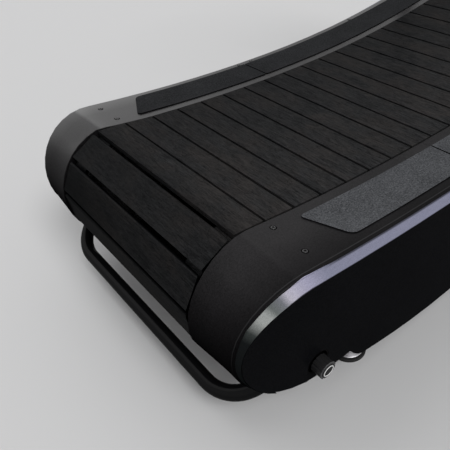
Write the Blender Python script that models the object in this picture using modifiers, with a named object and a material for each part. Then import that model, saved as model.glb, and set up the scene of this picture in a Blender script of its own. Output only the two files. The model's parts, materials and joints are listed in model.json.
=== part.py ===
import bpy
import bmesh
from math import sin, cos, tan, pi, radians, degrees, hypot, atan2, sqrt, acos
from mathutils import Vector, Matrix

# Curved manual treadmill. X runs forward to the console, Y to the runner's left and Z up.
# The origin is on the floor, under the middle of the machine.

gap = 0.0003                    # space left between touching pieces
runningGap = 0.00005            # radial clearance of a turning shaft

axleX = 0.735                   # both axles stand this far from the middle
rearAxleZ = 0.253
frontAxleZ = 0.328
lowX, lowTopZ = -0.135, 0.336   # lowest point of the running surface
slatCount = 56
slatPitch = 0.0654
slatWidth = 0.063
slatHalf = 0.215                # half of the belt's width
slatTop = 0.011                 # running surface above the belt's neutral line
neutralRadius = 0.110           # neutral line round the pulleys
bandHalf = 0.0035               # half the thickness of the drive bands
bandIn, bandOut = 0.170, 0.210  # drive bands in y
firstSlatAngle = radians(28.8)  # the slat just behind the rear axle's top

coverDrop = 0.0015              # covers lie this far under the running surface
coverBend = 0.1255              # radius of the covers round the ends
coverIn, coverOut = 0.2168, 0.3450
edgeRound = 0.0065              # width of the covers' rounded outer edge
edgeDrop = 0.0035
coverSkin = 0.004
coverLip = 0.024
seamX = -0.2725                 # joint between the rear and front covers
trimDrop, trimGap = 0.0135, 0.0010
panelOut, panelSkin = 0.3605, 0.005
panelBend = coverBend - trimDrop
sillRear, sillLow = 0.1115, 0.024  # lower edge of the side panels: rear step and long middle

plateIn, plateOut = 0.235, 0.241
railY, railZ = 0.309, 0.093
railWide, railTall, railWall = 0.050, 0.060, 0.003
railRear, railFront = -0.700, 0.685
outriggerX = (-0.560, -0.265, 0.185, 0.600)

handleX, handleY, handleZ = -0.8392, 0.3074, 0.0762   # middle line of the tube at the rear
handleRadius, handleBend, handleRise = 0.0148, 0.088, 0.555
footX = (-0.5445, 0.535)
footY, footRadius = 0.3048, 0.0382
wheelX, wheelZ, wheelRadius = 0.780, 0.041, 0.035

axleRadius = 0.0125
rollerX = (-0.465, -0.165, 0.135, 0.435)
rollerRadius, rollerPin = 0.022, 0.006
magnetX, magnetZ = -0.615, 0.283
knobX, knobZ, knobRadius = -0.706, 0.1625, 0.0176
knobIn, knobRim, knobOut = 0.3606, 0.3826, 0.3840

uprightY, uprightRadius = 0.388, 0.024
uprightFootX = 0.470
railTopZ, railEndX = 1.150, 0.040
barX, barZ = 0.5735, 1.000
consoleTilt = radians(35)
buttonY = (-0.070, 0.0, 0.070)

partsCollection = bpy.data.collections.new("curved_manual_treadmill")
cutterCollection = bpy.data.collections.new("cutters")


# ---------------------------------------------------------------- setting up

def clearScene():
    for item in list(bpy.data.objects):
        bpy.data.objects.remove(item, do_unlink=True)
    for collection in (partsCollection, cutterCollection):
        bpy.context.scene.collection.children.link(collection)


def makeMaterial(name, colour, roughness, metallic=0.0):
    material = bpy.data.materials.new(name)
    material.use_nodes = True
    shader = material.node_tree.nodes["Principled BSDF"]
    shader.inputs["Base Color"].default_value = (*colour, 1.0)
    shader.inputs["Roughness"].default_value = roughness
    shader.inputs["Metallic"].default_value = metallic
    material.diffuse_color = (*colour, 1.0)
    return material


def moveTo(item, collection):
    for old in list(item.users_collection):
        old.objects.unlink(item)
    collection.objects.link(item)


def finish(item, name, material):
    item.name = name
    item.data.name = name
    item.data.materials.clear()
    item.data.materials.append(material)
    moveTo(item, partsCollection)
    return item


def applyTransform(item):
    matrix = item.matrix_basis.copy()
    item.data.transform(matrix)
    if matrix.determinant() < 0:
        item.data.flip_normals()
    item.matrix_basis = Matrix()


def smooth(item, angle=35):
    item.data.shade_smooth()
    item.data.set_sharp_from_angle(angle=radians(angle))


# ---------------------------------------------------------------- basic shapes

def box(low, high):
    size = [high[i] - low[i] for i in range(3)]
    middle = [(high[i] + low[i]) / 2 for i in range(3)]
    bpy.ops.mesh.primitive_cube_add(size=1, location=middle)
    item = bpy.context.object
    item.scale = size
    applyTransform(item)
    return item


def cylinder(radius, start, end, sides=24):
    start, end = Vector(start), Vector(end)
    bpy.ops.mesh.primitive_cylinder_add(vertices=sides, radius=radius, depth=(end - start).length)
    item = bpy.context.object
    item.matrix_basis = (Matrix.Translation((start + end) / 2)
                         @ (end - start).to_track_quat("Z", "Y").to_matrix().to_4x4())
    applyTransform(item)
    smooth(item)
    return item


def meshObject(name, points, faces):
    mesh = bpy.data.meshes.new(name)
    mesh.from_pydata([tuple(p) for p in points], [], faces)
    mesh.update()
    item = bpy.data.objects.new(name, mesh)
    partsCollection.objects.link(item)
    return item


def faceOutwards(item):
    work = bmesh.new()
    work.from_mesh(item.data)
    bmesh.ops.recalc_face_normals(work, faces=work.faces)
    if work.calc_volume(signed=True) < 0:
        bmesh.ops.reverse_faces(work, faces=work.faces)
    work.to_mesh(item.data)
    work.free()
    return item


def loft(sections, closed=False):
    """Joins rings of equal count; open lofts get end caps."""
    count = len(sections[0])
    points = [p for ring in sections for p in ring]
    faces = []
    last = len(sections) if closed else len(sections) - 1
    for i in range(last):
        for j in range(count):
            k = (j + 1) % count
            a, b = i * count, (i + 1) % len(sections) * count
            faces.append((a + j, a + k, b + k, b + j))
    if not closed:
        faces.append(tuple(range(count)))
        faces.append(tuple((len(sections) - 1) * count + j for j in range(count)))
    return faceOutwards(meshObject("loft", points, faces))


def plate(outline, yIn, yOut):
    """A flat outline in x and z, thickened from yIn to yOut."""
    item = meshObject("plate", [(x, yIn, z) for x, z in outline], [tuple(range(len(outline)))])
    solid = item.modifiers.new("thickness", "SOLIDIFY")
    solid.thickness = abs(yOut - yIn)
    normal = item.data.polygons[0].normal.y
    solid.offset = 1.0 if normal * (yOut - yIn) > 0 else -1.0
    bake(item)
    return faceOutwards(item)


def turned(profile, axisPoint, axis, sides=28):
    """A closed profile of (radius, along) pairs turned about an axis."""
    mesh = bpy.data.meshes.new("turned")
    edges = [(i, (i + 1) % len(profile)) for i in range(len(profile))]
    mesh.from_pydata([(r, 0, h) for r, h in profile], edges, [])
    item = bpy.data.objects.new("turned", mesh)
    partsCollection.objects.link(item)
    screw = item.modifiers.new("turn", "SCREW")
    screw.steps = screw.render_steps = sides
    screw.use_merge_vertices = True
    screw.merge_threshold = 0.00002
    bake(item)
    faceOutwards(item)
    turn = Vector((0, 0, 1)).rotation_difference(Vector(axis)).to_matrix().to_4x4()
    item.matrix_basis = Matrix.Translation(axisPoint) @ turn
    applyTransform(item)
    smooth(item)
    return item


def bentTube(corners, radius, wall=0.0, sides=4, bendSteps=6):
    """A round tube along straight runs with rounded corners given as (point, bend radius)."""
    path = roundedPath(corners, bendSteps)
    curve = bpy.data.curves.new("tube", "CURVE")
    curve.dimensions = "3D"
    curve.bevel_depth = radius
    curve.bevel_resolution = sides
    curve.use_fill_caps = wall == 0
    spline = curve.splines.new("POLY")
    spline.points.add(len(path) - 1)
    for point, place in zip(spline.points, path):
        point.co = (*place, 1)
    item = bpy.data.objects.new("tube", curve)
    partsCollection.objects.link(item)
    return curveToMesh(item, wall)


def curveToMesh(item, wall):
    bpy.context.view_layer.update()
    graph = bpy.context.evaluated_depsgraph_get()
    mesh = bpy.data.meshes.new_from_object(item.evaluated_get(graph))
    solid = bpy.data.objects.new("tube", mesh)
    solid.matrix_world = item.matrix_world
    partsCollection.objects.link(solid)
    bpy.data.objects.remove(item, do_unlink=True)
    work = bmesh.new()
    work.from_mesh(mesh)
    bmesh.ops.remove_doubles(work, verts=work.verts, dist=0.00002)
    bmesh.ops.recalc_face_normals(work, faces=work.faces)
    work.to_mesh(mesh)
    work.free()
    if wall:
        shell = solid.modifiers.new("wall", "SOLIDIFY")
        shell.thickness = wall
        shell.offset = -1
        bake(solid)
        faceOutwards(solid)
    smooth(solid, 40)
    return solid


def roundedPath(corners, steps):
    """Straight runs with an arc at each corner that has a bend radius."""
    path = []
    for i, (place, radius) in enumerate(corners):
        place = Vector(place)
        if not radius or i in (0, len(corners) - 1):
            path.append(place)
            continue
        back = (Vector(corners[i - 1][0]) - place).normalized()
        ahead = (Vector(corners[i + 1][0]) - place).normalized()
        half = back.angle(ahead) / 2
        middle = place + (back + ahead).normalized() * radius / sin(half)
        first = place + back * radius / tan(half) - middle
        last = place + ahead * radius / tan(half) - middle
        sweep = first.angle(last)
        for k in range(steps + 1):
            t = k / steps
            path.append(middle + (first * sin((1 - t) * sweep) + last * sin(t * sweep)) / sin(sweep))
    return path


def roundedOutline(corners, steps=5):
    """A closed outline in x and z whose corners (x, z, radius) are rounded."""
    points = []
    count = len(corners)
    for i, (x, z, radius) in enumerate(corners):
        place = Vector((x, z))
        if not radius:
            points.append(tuple(place))
            continue
        back = (Vector(corners[i - 1][:2]) - place).normalized()
        ahead = (Vector(corners[(i + 1) % count][:2]) - place).normalized()
        half = back.angle(ahead) / 2
        middle = place + (back + ahead).normalized() * radius / sin(half)
        first = place + back * radius / tan(half) - middle
        last = place + ahead * radius / tan(half) - middle
        sweep = first.angle(last)
        for k in range(steps + 1):
            t = k / steps
            arm = (first * sin((1 - t) * sweep) + last * sin(t * sweep)) / sin(sweep)
            points.append(tuple(middle + arm))
    return points


# ---------------------------------------------------------------- joining and cutting

def bake(item):
    graph = bpy.context.evaluated_depsgraph_get()
    mesh = bpy.data.meshes.new_from_object(item.evaluated_get(graph))
    item.modifiers.clear()
    old = item.data
    item.data = mesh
    bpy.data.meshes.remove(old)
    return item


def combine(item, others, operation):
    for other in others:
        step = item.modifiers.new(operation.lower(), "BOOLEAN")
        step.operation = operation
        step.solver = "EXACT"
        step.object = other
        bake(item)
        bpy.data.objects.remove(other, do_unlink=True)
    return item


def union(item, *others):
    return combine(item, others, "UNION")


def cut(item, *others):
    return combine(item, others, "DIFFERENCE")


def mirrored(item, name, material):
    """The same piece on the runner's right."""
    twin = bpy.data.objects.new(name, item.data.copy())
    partsCollection.objects.link(twin)
    twin.data.transform(Matrix.Diagonal((1, -1, 1, 1)))
    twin.data.flip_normals()
    return finish(twin, name, material)


def pivotAt(item, place):
    """Moves the object's origin onto its joint's axis."""
    item.data.transform(Matrix.Translation(-Vector(place)))
    item.location = place
    return item


# ---------------------------------------------------------------- the running path

def topArcs(rear, front, bend, lowZ):
    """Two large arcs that meet at the low point and touch the end circles of radius bend."""
    arcs = []
    for centre in (rear, front):
        dx, dz = lowX - centre[0], lowZ - centre[1]
        radius = (dx * dx + dz * dz - bend * bend) / (2 * (bend - dz))
        arcs.append((lowX, lowZ + radius, radius))
    return arcs


def surfaceHeight(x, lift=0.0):
    """Height of the running surface, moved by lift along its normal."""
    rear, front = topArcs((-axleX, rearAxleZ), (axleX, frontAxleZ), neutralRadius + slatTop, lowTopZ)
    cx, cz, radius = rear if x < lowX else front
    radius -= lift
    return cz - sqrt(radius * radius - (x - cx) ** 2)


def beltSegments(returnRadius):
    """The neutral loop as arcs (centre x, centre z, radius, start, sweep), angles from +X."""
    rear, front = (-axleX, rearAxleZ), (axleX, frontAxleZ)
    rearArc, frontArc = topArcs(rear, front, neutralRadius, lowTopZ - slatTop)
    rearTop = atan2(rearArc[1] - rear[1], rearArc[0] - rear[0])
    frontTop = atan2(frontArc[1] - front[1], frontArc[0] - front[0])
    span = Vector((front[0] - rear[0], front[1] - rear[1]))
    reach = returnRadius - neutralRadius
    rise = sqrt(reach * reach - (span.length / 2) ** 2)
    across = Vector((-span.y, span.x)).normalized()
    centre = Vector(rear) + span / 2 + across * rise
    rearLow = atan2(rear[1] - centre.y, rear[0] - centre.x) % (2 * pi)
    frontLow = atan2(front[1] - centre.y, front[0] - centre.x) % (2 * pi)
    return [
        (*rear, neutralRadius, rearTop, rearLow - rearTop),
        (*centre, returnRadius, rearLow, frontLow - rearLow),
        (*front, neutralRadius, frontLow, frontTop + 2 * pi - frontLow),
        (frontArc[0], frontArc[1], -frontArc[2], frontTop + pi, -pi / 2 - frontTop - pi + 2 * pi),
        (rearArc[0], rearArc[1], -rearArc[2], -pi / 2, rearTop + pi + pi / 2 - 2 * pi),
    ]


def segmentLength(segment):
    return abs(segment[2] * segment[4])


def solveReturn():
    """The slack return run that makes the loop a whole number of slats long."""
    low, high = 0.9, 60.0
    for _ in range(80):
        middle = (low + high) / 2
        length = sum(segmentLength(s) for s in beltSegments(middle))
        if length > slatCount * slatPitch:
            low = middle
        else:
            high = middle
    return beltSegments(middle)


def pointOnArc(segment, part):
    """Place and outward direction at a fraction of one arc."""
    cx, cz, radius, start, sweep = segment
    angle = start + sweep * part
    away = Vector((cos(angle), sin(angle)))
    side = 1 if radius > 0 else -1
    return Vector((cx, cz)) + away * abs(radius), away * side


def alongLoop(segments, distance):
    distance %= sum(segmentLength(s) for s in segments)
    for segment in segments:
        length = segmentLength(segment)
        if distance <= length:
            return pointOnArc(segment, distance / length)
        distance -= length
    return pointOnArc(segments[-1], 1.0)


# ---------------------------------------------------------------- running belt

def slatFrame(place, away):
    along = Vector((away.y, 0, -away.x))
    return Matrix((
        (along.x, 0, away.x, place.x),
        (0, 1, 0, 0),
        (along.z, 0, away.y, place.y),
        (0, 0, 0, 1)))


def runningBelt(segments, material):
    bands = []
    rings = []
    steps = (16, 12, 16, 8, 6)
    for segment, count in zip(segments, steps):
        for k in range(count):
            rings.append(pointOnArc(segment, k / count))
    for side in (1, -1):
        sections = []
        for place, away in rings:
            inner, outer = place - away * bandHalf, place + away * bandHalf
            sections.append([
                (inner.x, side * bandIn, inner.y), (inner.x, side * bandOut, inner.y),
                (outer.x, side * bandOut, outer.y), (outer.x, side * bandIn, outer.y)])
        bands.append(loft(sections, closed=True))
    slats = bmesh.new()
    offset = (pi / 2 + firstSlatAngle - segments[0][3]) * neutralRadius
    thick = slatTop - bandHalf + 0.001
    for k in range(slatCount):
        place, away = alongLoop(segments, offset + k * slatPitch)
        bmesh.ops.create_cube(slats, size=1, matrix=slatFrame(place, away)
                              @ Matrix.Translation((0, 0, slatTop - thick / 2))
                              @ Matrix.Diagonal((slatWidth, 2 * slatHalf, thick, 1)))
    bmesh.ops.recalc_face_normals(slats, faces=slats.faces)
    mesh = bpy.data.meshes.new("slats")
    slats.to_mesh(mesh)
    slats.free()
    item = bpy.data.objects.new("slats", mesh)
    partsCollection.objects.link(item)
    belt = union(bands[0], bands[1], item)
    finish(belt, "running_belt", material)


# ---------------------------------------------------------------- covers, pads, trims and panels

def coverStations(fromX, toX, count):
    """Places and outward directions on the covers' surface between two x on the top run."""
    stations = []
    for k in range(count + 1):
        x = fromX + (toX - fromX) * k / count
        stations.append((Vector((x, surfaceHeight(x, -coverDrop))), surfaceNormal(x)))
    return stations


def surfaceNormal(x):
    step = 0.001
    slope = (surfaceHeight(x + step) - surfaceHeight(x - step)) / (2 * step)
    return Vector((-slope, 1)).normalized()


def bendStations(end, fromAngle, toAngle, count, radius=coverBend):
    """Round an end: angles run from the top, away from the middle of the machine."""
    side = -1 if end == "rear" else 1
    centre = bendCentre(end)
    stations = []
    for k in range(count + 1):
        angle = radians(fromAngle + (toAngle - fromAngle) * k / count)
        away = Vector((side * sin(angle), cos(angle)))
        stations.append((centre + away * radius, away))
    return stations


def bendCentre(end):
    if end == "rear":
        return Vector((-axleX, rearAxleZ - 0.006))
    return Vector((axleX, frontAxleZ - 0.006))


def edgeY(x):
    """The covers' outer edge, which draws in towards both ends."""
    over = max(abs(x) - axleX + 0.030, 0)
    return coverOut - 0.80 * over * over


def sideY(x):
    """The side panels' outer face, which curves in towards both ends."""
    over = max(abs(x) - axleX + 0.010, 0)
    return panelOut - 1.69 * over * over


def coverSink(y, away):
    """The covers' lower ends draw in towards the outside."""
    turn = degrees(acos(min(max(away.y, -1), 1)))
    return 0.0062 * eased(turn / 105, 0.25) * min((y - coverIn) / 0.080, 1)


def coverSection(place, away):
    edge = edgeY(place.x)

    def at(y, depth):
        spot = place - away * (depth + coverSink(y, away))
        return (spot.x, y, spot.y)
    inside = coverIn + 0.004
    return [at(coverIn, 0), at(0.260, 0), at(0.300, 0),
            at(edge - edgeRound, 0), at(edge - 0.0025, 0.0010), at(edge, edgeDrop),
            at(edge - edgeRound, coverSkin), at(0.300, coverSkin), at(inside, coverSkin),
            at(inside, coverLip), at(coverIn, coverLip)]


def covers(material):
    rearTangent, frontTangent = -axleX + 0.022, axleX - 0.040
    rear = coverStations(seamX - gap / 2, rearTangent, 6) + bendStations("rear", 0, 150, 14)
    front = coverStations(seamX + gap / 2, frontTangent, 11) + bendStations("front", 0, 150, 12)
    for name, stations in (("rear", rear), ("front", front)):
        item = loft([coverSection(place, away) for place, away in stations])
        smooth(item, 30)
        finish(item, "cover_%s_left" % name, material)
        mirrored(item, "cover_%s_right" % name, material)


def spanAt(outline, x):
    """Lowest and highest y of a closed plan outline at x."""
    found = []
    for (x1, y1), (x2, y2) in zip(outline, outline[1:] + outline[:1]):
        if min(x1, x2) <= x <= max(x1, x2) and abs(x2 - x1) > 1e-9:
            found.append(y1 + (y2 - y1) * (x - x1) / (x2 - x1))
    return min(found), max(found)


def padPlan(end):
    """Plan of a pad: square at the seam, slanted and rounded at its far end."""
    inner, outer, slant = 0.2384, 0.3232, 0.035
    if end == "rear":
        corners = [(-0.641, inner, 0.006), (seamX - 0.0015, inner, 0.0004),
                   (seamX - 0.0015, outer, 0.0004), (-0.641 + slant, outer, 0.020)]
    else:
        corners = [(seamX + 0.0015, inner, 0.0004), (0.560, inner, 0.006),
                   (0.560 - slant, outer, 0.020), (seamX + 0.0015, outer, 0.0004)]
    return roundedOutline(corners, 5)


def gripPads(material):
    base, thick = 0.0006, 0.0018
    for name, count in (("rear", 7), ("front", 13)):
        outline = padPlan(name)
        ends = [x for x, y in outline]
        start, end = min(ends) + 0.0002, max(ends) - 0.0002
        places = [start + (end - start) * k / count for k in range(count + 1)]
        for x in sorted(ends):
            if start < x < end and min(abs(x - other) for other in places) > 0.0008:
                places.append(x)
        sections = []
        for x in sorted(places):
            near, far = spanAt(outline, x)
            place = Vector((x, surfaceHeight(x, -coverDrop)))
            away = surfaceNormal(x)
            low, high = place + away * base, place + away * (base + thick)
            sections.append([(low.x, near, low.y), (low.x, far, low.y),
                             (high.x, far, high.y), (high.x, near, high.y)])
        item = loft(sections)
        smooth(item, 30)
        finish(item, "grip_pad_%s_left" % name, material)
        mirrored(item, "grip_pad_%s_right" % name, material)


def panelHigh(x):
    if abs(x) >= axleX:
        centre = bendCentre("rear" if x < 0 else "front")
        return centre.y + sqrt(max(panelBend ** 2 - (x - centre.x) ** 2, 0))
    return surfaceHeight(x) - coverDrop - trimDrop


def panelLow(x):
    """Round the rear end, along a short sill, down a step to the long sill and up to the front."""
    rear, front = bendCentre("rear"), bendCentre("front")
    if x < -0.8055:
        return rear.y - sqrt(max(panelBend ** 2 - (x - rear.x) ** 2, 0))
    if x < -0.6175:
        return sillRear + 1.370 * (x + 0.6175) ** 2
    if x < -0.5625:
        return 0.0660 + (sillRear - 0.0660) * ((-0.5625 - x) / 0.0550) ** 1.9
    if x < -0.250:
        return sillLow + 0.430 * (x + 0.250) ** 2
    if x < 0.335:
        return sillLow
    if x < 0.600:
        return sillLow + 0.081 * eased((x - 0.335) / 0.265, 0.0)
    if x < 0.8208:
        return 0.105 + 2.977 * (x - 0.600) ** 2
    return front.y - sqrt(max(panelBend ** 2 - (x - front.x) ** 2, 0))


def eased(part, wait):
    part = min(max((part - wait) / (1 - wait), 0), 1)
    return part * part * (3 - 2 * part)


def panelStations():
    places = [-axleX - panelBend * cos(radians(a)) for a in (6, 14, 24, 36, 48, 62, 76)]
    places += [-axleX, -0.713, -0.690, -0.660, -0.635]
    places += [-0.6175, -0.610, -0.602, -0.594, -0.586, -0.576, -0.5625]
    places += [-0.530, -0.480, -0.420, -0.350, -0.270, -0.190, -0.110]
    places += [-0.030, 0.050, 0.130, 0.210, 0.275, 0.335]
    places += [0.375, 0.415, 0.455, 0.495, 0.540, 0.600, 0.650, 0.695, axleX]
    places += [axleX + panelBend * cos(radians(a)) for a in (76, 62, 48, 36, 24, 14, 6)]
    return places


def uprightBossPlaces():
    return [(uprightFootX, z) for z in (0.175, 0.255)]


def sidePanels(material):
    sections = []
    for x in panelStations():
        out, low, high = sideY(x), panelLow(x), panelHigh(x)
        sections.append([(x, out, low), (x, out, high),
                         (x, out - panelSkin, high), (x, out - panelSkin, low)])
    left = loft(sections)
    smooth(left, 30)
    for x, z in uprightBossPlaces():
        cut(left, cylinder(0.0125, (x, 0.34, z), (x, 0.37, z), 12))
    finish(left, "side_panel_left", material)
    right = mirrored(left, "side_panel_right", material)
    cut(right, cylinder(0.0256, (knobX, -0.34, knobZ), (knobX, -0.37, knobZ), 24))


def trimSection(place, away, x):
    """A strip between the covers' outer edge and the side panels."""
    centre = bendCentre("rear" if x < 0 else "front")
    if abs(x) < axleX:
        lower = place - Vector((0, trimDrop - trimGap))
    else:
        lower = centre + away * (panelBend + trimGap)
    sink = edgeDrop + coverSink(coverOut, away)
    upper, under = place - away * sink, place - away * (sink + 0.0035)
    start, end = edgeY(place.x) + gap, sideY(lower.x)
    return [(upper.x, start, upper.y), (lower.x, end, lower.y),
            (lower.x, end - 0.0045, lower.y), (under.x, start, under.y)]


def trims(material):
    stations = list(reversed(bendStations("front", 0, 135, 12)))
    for k in range(19):
        x = axleX - 0.040 + (0.062 - 2 * axleX) * k / 18
        stations.append((Vector((x, surfaceHeight(x, -coverDrop))), surfaceNormal(x)))
    stations += bendStations("rear", 0, 150, 16)
    item = loft([trimSection(place, away, place.x) for place, away in stations])
    smooth(item, 40)
    finish(item, "trim_left", material)
    mirrored(item, "trim_right", material)


# ---------------------------------------------------------------- frame

def frameOutline():
    top = []
    for k in range(17):
        x = 0.745 - 1.49 * k / 16
        top.append((x, surfaceHeight(min(max(x, -axleX), axleX)) - 0.036, 0))
    low = railZ + railTall / 2 - 0.010
    return roundedOutline(top + [(-0.800, 0.330, 0.03), (-0.800, 0.180, 0.04), (-0.735, low, 0.02),
                                 (0.670, low, 0.02), (0.800, 0.240, 0.05), (0.800, 0.395, 0.03)], 3)


def hollowRail():
    half = railWide / 2
    low, high = railZ - railTall / 2, railZ + railTall / 2
    rail = box((railRear, railY - half, low), (railFront, railY + half, high))
    return cut(rail, box((railRear - 0.01, railY - half + railWall, low + railWall),
                         (railFront - 0.02, railY + half - railWall, high - railWall)))


def wheelFork():
    half = 0.0135
    block = box((railFront - 0.060, railY - 0.0225, 0.066), (railFront + 0.020, railY + 0.0225, 0.120))
    cheeks = []
    for side in (-1, 1):
        near, far = railY + side * half, railY + side * (half + 0.006)
        cheeks.append(plate(roundedOutline([
            (railFront - 0.010, 0.112, 0.01), (railFront - 0.010, 0.070, 0.01),
            (wheelX - 0.018, 0.024, 0.012), (wheelX + 0.018, 0.024, 0.012),
            (wheelX + 0.018, 0.060, 0.012)], 2), min(near, far), max(near, far)))
    union(block, *cheeks)
    return cut(block, cylinder(0.0055 + runningGap + 0.00015, (wheelX, railY - 0.03, wheelZ),
                              (wheelX, railY + 0.03, wheelZ), 16))


def rollerPlaces():
    """Guide rollers hang their axis this far under the neutral line."""
    depth = bandHalf + gap + rollerRadius
    places = []
    for x in rollerX:
        place = Vector((x, surfaceHeight(x) - slatTop))
        places.append(place - surfaceNormal(x) * depth)
    return places


def sidePlates(material):
    """Upright plates that carry both axles and the guide rollers."""
    left = plate(frameOutline(), plateIn, plateOut)
    for z, side in ((rearAxleZ, -1), (frontAxleZ, 1)):
        cut(left, cylinder(0.020, (side * axleX, 0.22, z), (side * axleX, 0.25, z), 16))
    for place in rollerPlaces():
        cut(left, cylinder(rollerPin + 0.00012, (place.x, 0.22, place.y), (place.x, 0.25, place.y), 16))
    finish(left, "side_plate_left", material)
    right = mirrored(left, "side_plate_right", material)
    union(right, cylinder(0.005, (magnetX, -plateOut + 0.003, magnetZ), (magnetX, -0.284, magnetZ), 16))


def baseRails(material):
    """Floor rails with their outriggers, the handle's sleeve, the upright's post and the wheel fork."""
    rail = hollowRail()
    union(rail, handleSocket())
    for x in outriggerX:
        reach = railY - railWide / 2 + 0.0015
        union(rail, box((x - 0.012, plateOut + gap, 0.098), (x + 0.012, reach, 0.138)))
    post = box((uprightFootX - 0.025, railY - 0.012, railZ + 0.020),
               (uprightFootX + 0.025, railY + 0.018, 0.300))
    for x, z in uprightBossPlaces():
        union(post, cylinder(0.0118, (x, railY + 0.010, z), (x, uprightY - uprightRadius - gap, z), 12))
    union(post, box((uprightFootX - 0.004, plateOut + gap, 0.140),
                    (uprightFootX + 0.004, railY - 0.010, 0.290)))
    union(rail, post)
    union(rail, wheelFork())
    for x in footX:
        cut(rail, cylinder(0.0064, (x, footY, 0.05), (x, footY, 0.14), 12))
    finish(rail, "base_rail_left", material)
    mirrored(rail, "base_rail_right", material)


def crossTubes(material):
    reach = plateIn - gap
    for name, x in (("rear", -0.345), ("middle", 0.085), ("front", 0.515)):
        tube = box((x - 0.020, -reach, 0.225), (x + 0.020, reach, 0.265))
        cut(tube, box((x - 0.0175, -reach - 0.01, 0.2275), (x + 0.0175, reach + 0.01, 0.2625)))
        finish(tube, "cross_tube_" + name, material)


def handlePoint(x):
    return Vector((x, handleY, handleZ + handleRise * (x - handleX)))


def handleSocket():
    """A sleeve round the handle's end, on a gusset that stands on the rail."""
    start, end = handlePoint(-0.738), handlePoint(-0.655)
    sleeve = cylinder(0.0200, start, end, 16)
    web = plate([(-0.692, railZ), (-0.660, railZ), (-0.660, end.z - 0.004), (-0.692, end.z - 0.024)],
                handleY - 0.004, handleY + 0.004)
    bridge = box((-0.690, plateOut + gap, 0.150), (-0.664, handleY, 0.168))
    union(sleeve, web, bridge)
    away = (end - start).normalized()
    return cut(sleeve, cylinder(handleRadius + gap, start - away * 0.01, end - away * 0.010, 20))


def rearHandle(material):
    end = handlePoint(-0.6680)
    tube = bentTube([(end, 0), (handlePoint(handleX), handleBend),
                     ((handleX, -handleY, handleZ), handleBend), ((end.x, -end.y, end.z), 0)],
                    handleRadius, wall=0.002, sides=2, bendSteps=7)
    finish(tube, "rear_handle", material)


def levellingFeet(material):
    for name, x in (("rear", footX[0]), ("front", footX[1])):
        profile = [(0, 0), (footRadius, 0), (footRadius, 0.008), (0.0335, 0.0105), (0.0115, 0.0165),
                   (0.0115, 0.0315), (0.0060, 0.0325), (0.0060, 0.115), (0, 0.115)]
        foot = turned(profile, (x, footY, 0), (0, 0, 1), 20)
        finish(foot, "levelling_foot_%s_left" % name, material)
        mirrored(foot, "levelling_foot_%s_right" % name, material)


def transportWheels(material):
    half, stub = 0.0128, 0.0192
    profile = [(0, -stub), (0.0055, -stub), (0.0055, -half),
               (wheelRadius - 0.003, -half), (wheelRadius, -half + 0.003)]
    profile += [(r, -h) for r, h in reversed(profile)]
    wheel = turned(profile, (wheelX, railY, wheelZ), (0, 1, 0), 16)
    finish(wheel, "transport_wheel_left", material)
    right = mirrored(wheel, "transport_wheel_right", material)
    pivotAt(wheel, (wheelX, railY, wheelZ))
    pivotAt(right, (wheelX, -railY, wheelZ))


# ---------------------------------------------------------------- what turns inside

def axles(material):
    for name, side, z, right in (("rear", -1, rearAxleZ, 0.272), ("front", 1, frontAxleZ, 0.262)):
        axle = cylinder(axleRadius, (side * axleX, -right, z), (side * axleX, 0.262, z), 16)
        finish(axle, name + "_axle", material)
        pivotAt(axle, (side * axleX, 0, z))


def pulleys(material):
    bore, rim, half = axleRadius + gap, neutralRadius - bandHalf - 0.0009, 0.021
    profile = [(bore, -half), (0.024, -half), (0.030, -0.003), (rim - 0.010, -0.003),
               (rim - 0.008, -half), (rim, -half), (rim, half), (rim - 0.008, half),
               (rim - 0.010, 0.003), (0.030, 0.003), (0.024, half), (bore, half)]
    for name, side, z in (("rear", -1, rearAxleZ), ("front", 1, frontAxleZ)):
        pulley = turned(profile, (side * axleX, 0.190, z), (0, 1, 0), 16)
        finish(pulley, name + "_pulley_left", material)
        twin = mirrored(pulley, name + "_pulley_right", material)
        for item in (pulley, twin):
            pivotAt(item, (side * axleX, 0, z))


def bearings(material):
    bore = axleRadius + runningGap + 0.00035
    profile = [(bore, 0), (0.042, 0), (0.042, 0.006), (0.025, 0.007), (0.025, 0.018), (bore, 0.018)]
    for name, side, z in (("rear", -1, rearAxleZ), ("front", 1, frontAxleZ)):
        unit = turned(profile, (side * axleX, plateOut + gap, z), (0, 1, 0), 16)
        finish(unit, name + "_bearing_left", material)
        mirrored(unit, name + "_bearing_right", material)


def guideRollers(material):
    profile = [(0, -0.020), (rollerRadius, -0.020), (rollerRadius, 0.020),
               (rollerPin, 0.020), (rollerPin, 0.0508), (0, 0.0508)]
    for number, place in enumerate(rollerPlaces(), 1):
        spot = (place.x, 0.190, place.y)
        roller = turned(profile, spot, (0, 1, 0), 16)
        finish(roller, "guide_roller_%d_left" % number, material)
        right = mirrored(roller, "guide_roller_%d_right" % number, material)
        pivotAt(roller, spot)
        pivotAt(right, (spot[0], -spot[1], spot[2]))


def magneticBrake(discMaterial, carrierMaterial):
    bore = axleRadius + gap
    profile = [(bore, 0), (0.022, 0), (0.022, 0.0015), (0.095, 0.0015), (0.095, 0.0065), (bore, 0.0065)]
    disc = turned(profile, (-axleX, -0.2605, rearAxleZ), (0, -1, 0), 20)
    finish(disc, "brake_disc", discMaterial)
    pivotAt(disc, (-axleX, 0, rearAxleZ))
    carrier = box((magnetX - 0.017, -0.2790, magnetZ - 0.058),
                  (magnetX + 0.017, -0.2500, magnetZ + 0.012))
    cut(carrier, box((magnetX - 0.030, -0.2695, magnetZ - 0.080),
                     (magnetX + 0.006, -0.2590, magnetZ - 0.010)))
    cut(carrier, cylinder(0.005 + 0.00018, (magnetX, -0.24, magnetZ), (magnetX, -0.29, magnetZ), 16))
    finish(carrier, "magnet_carrier", carrierMaterial)
    pivotAt(carrier, (magnetX, -0.265, magnetZ))


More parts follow.
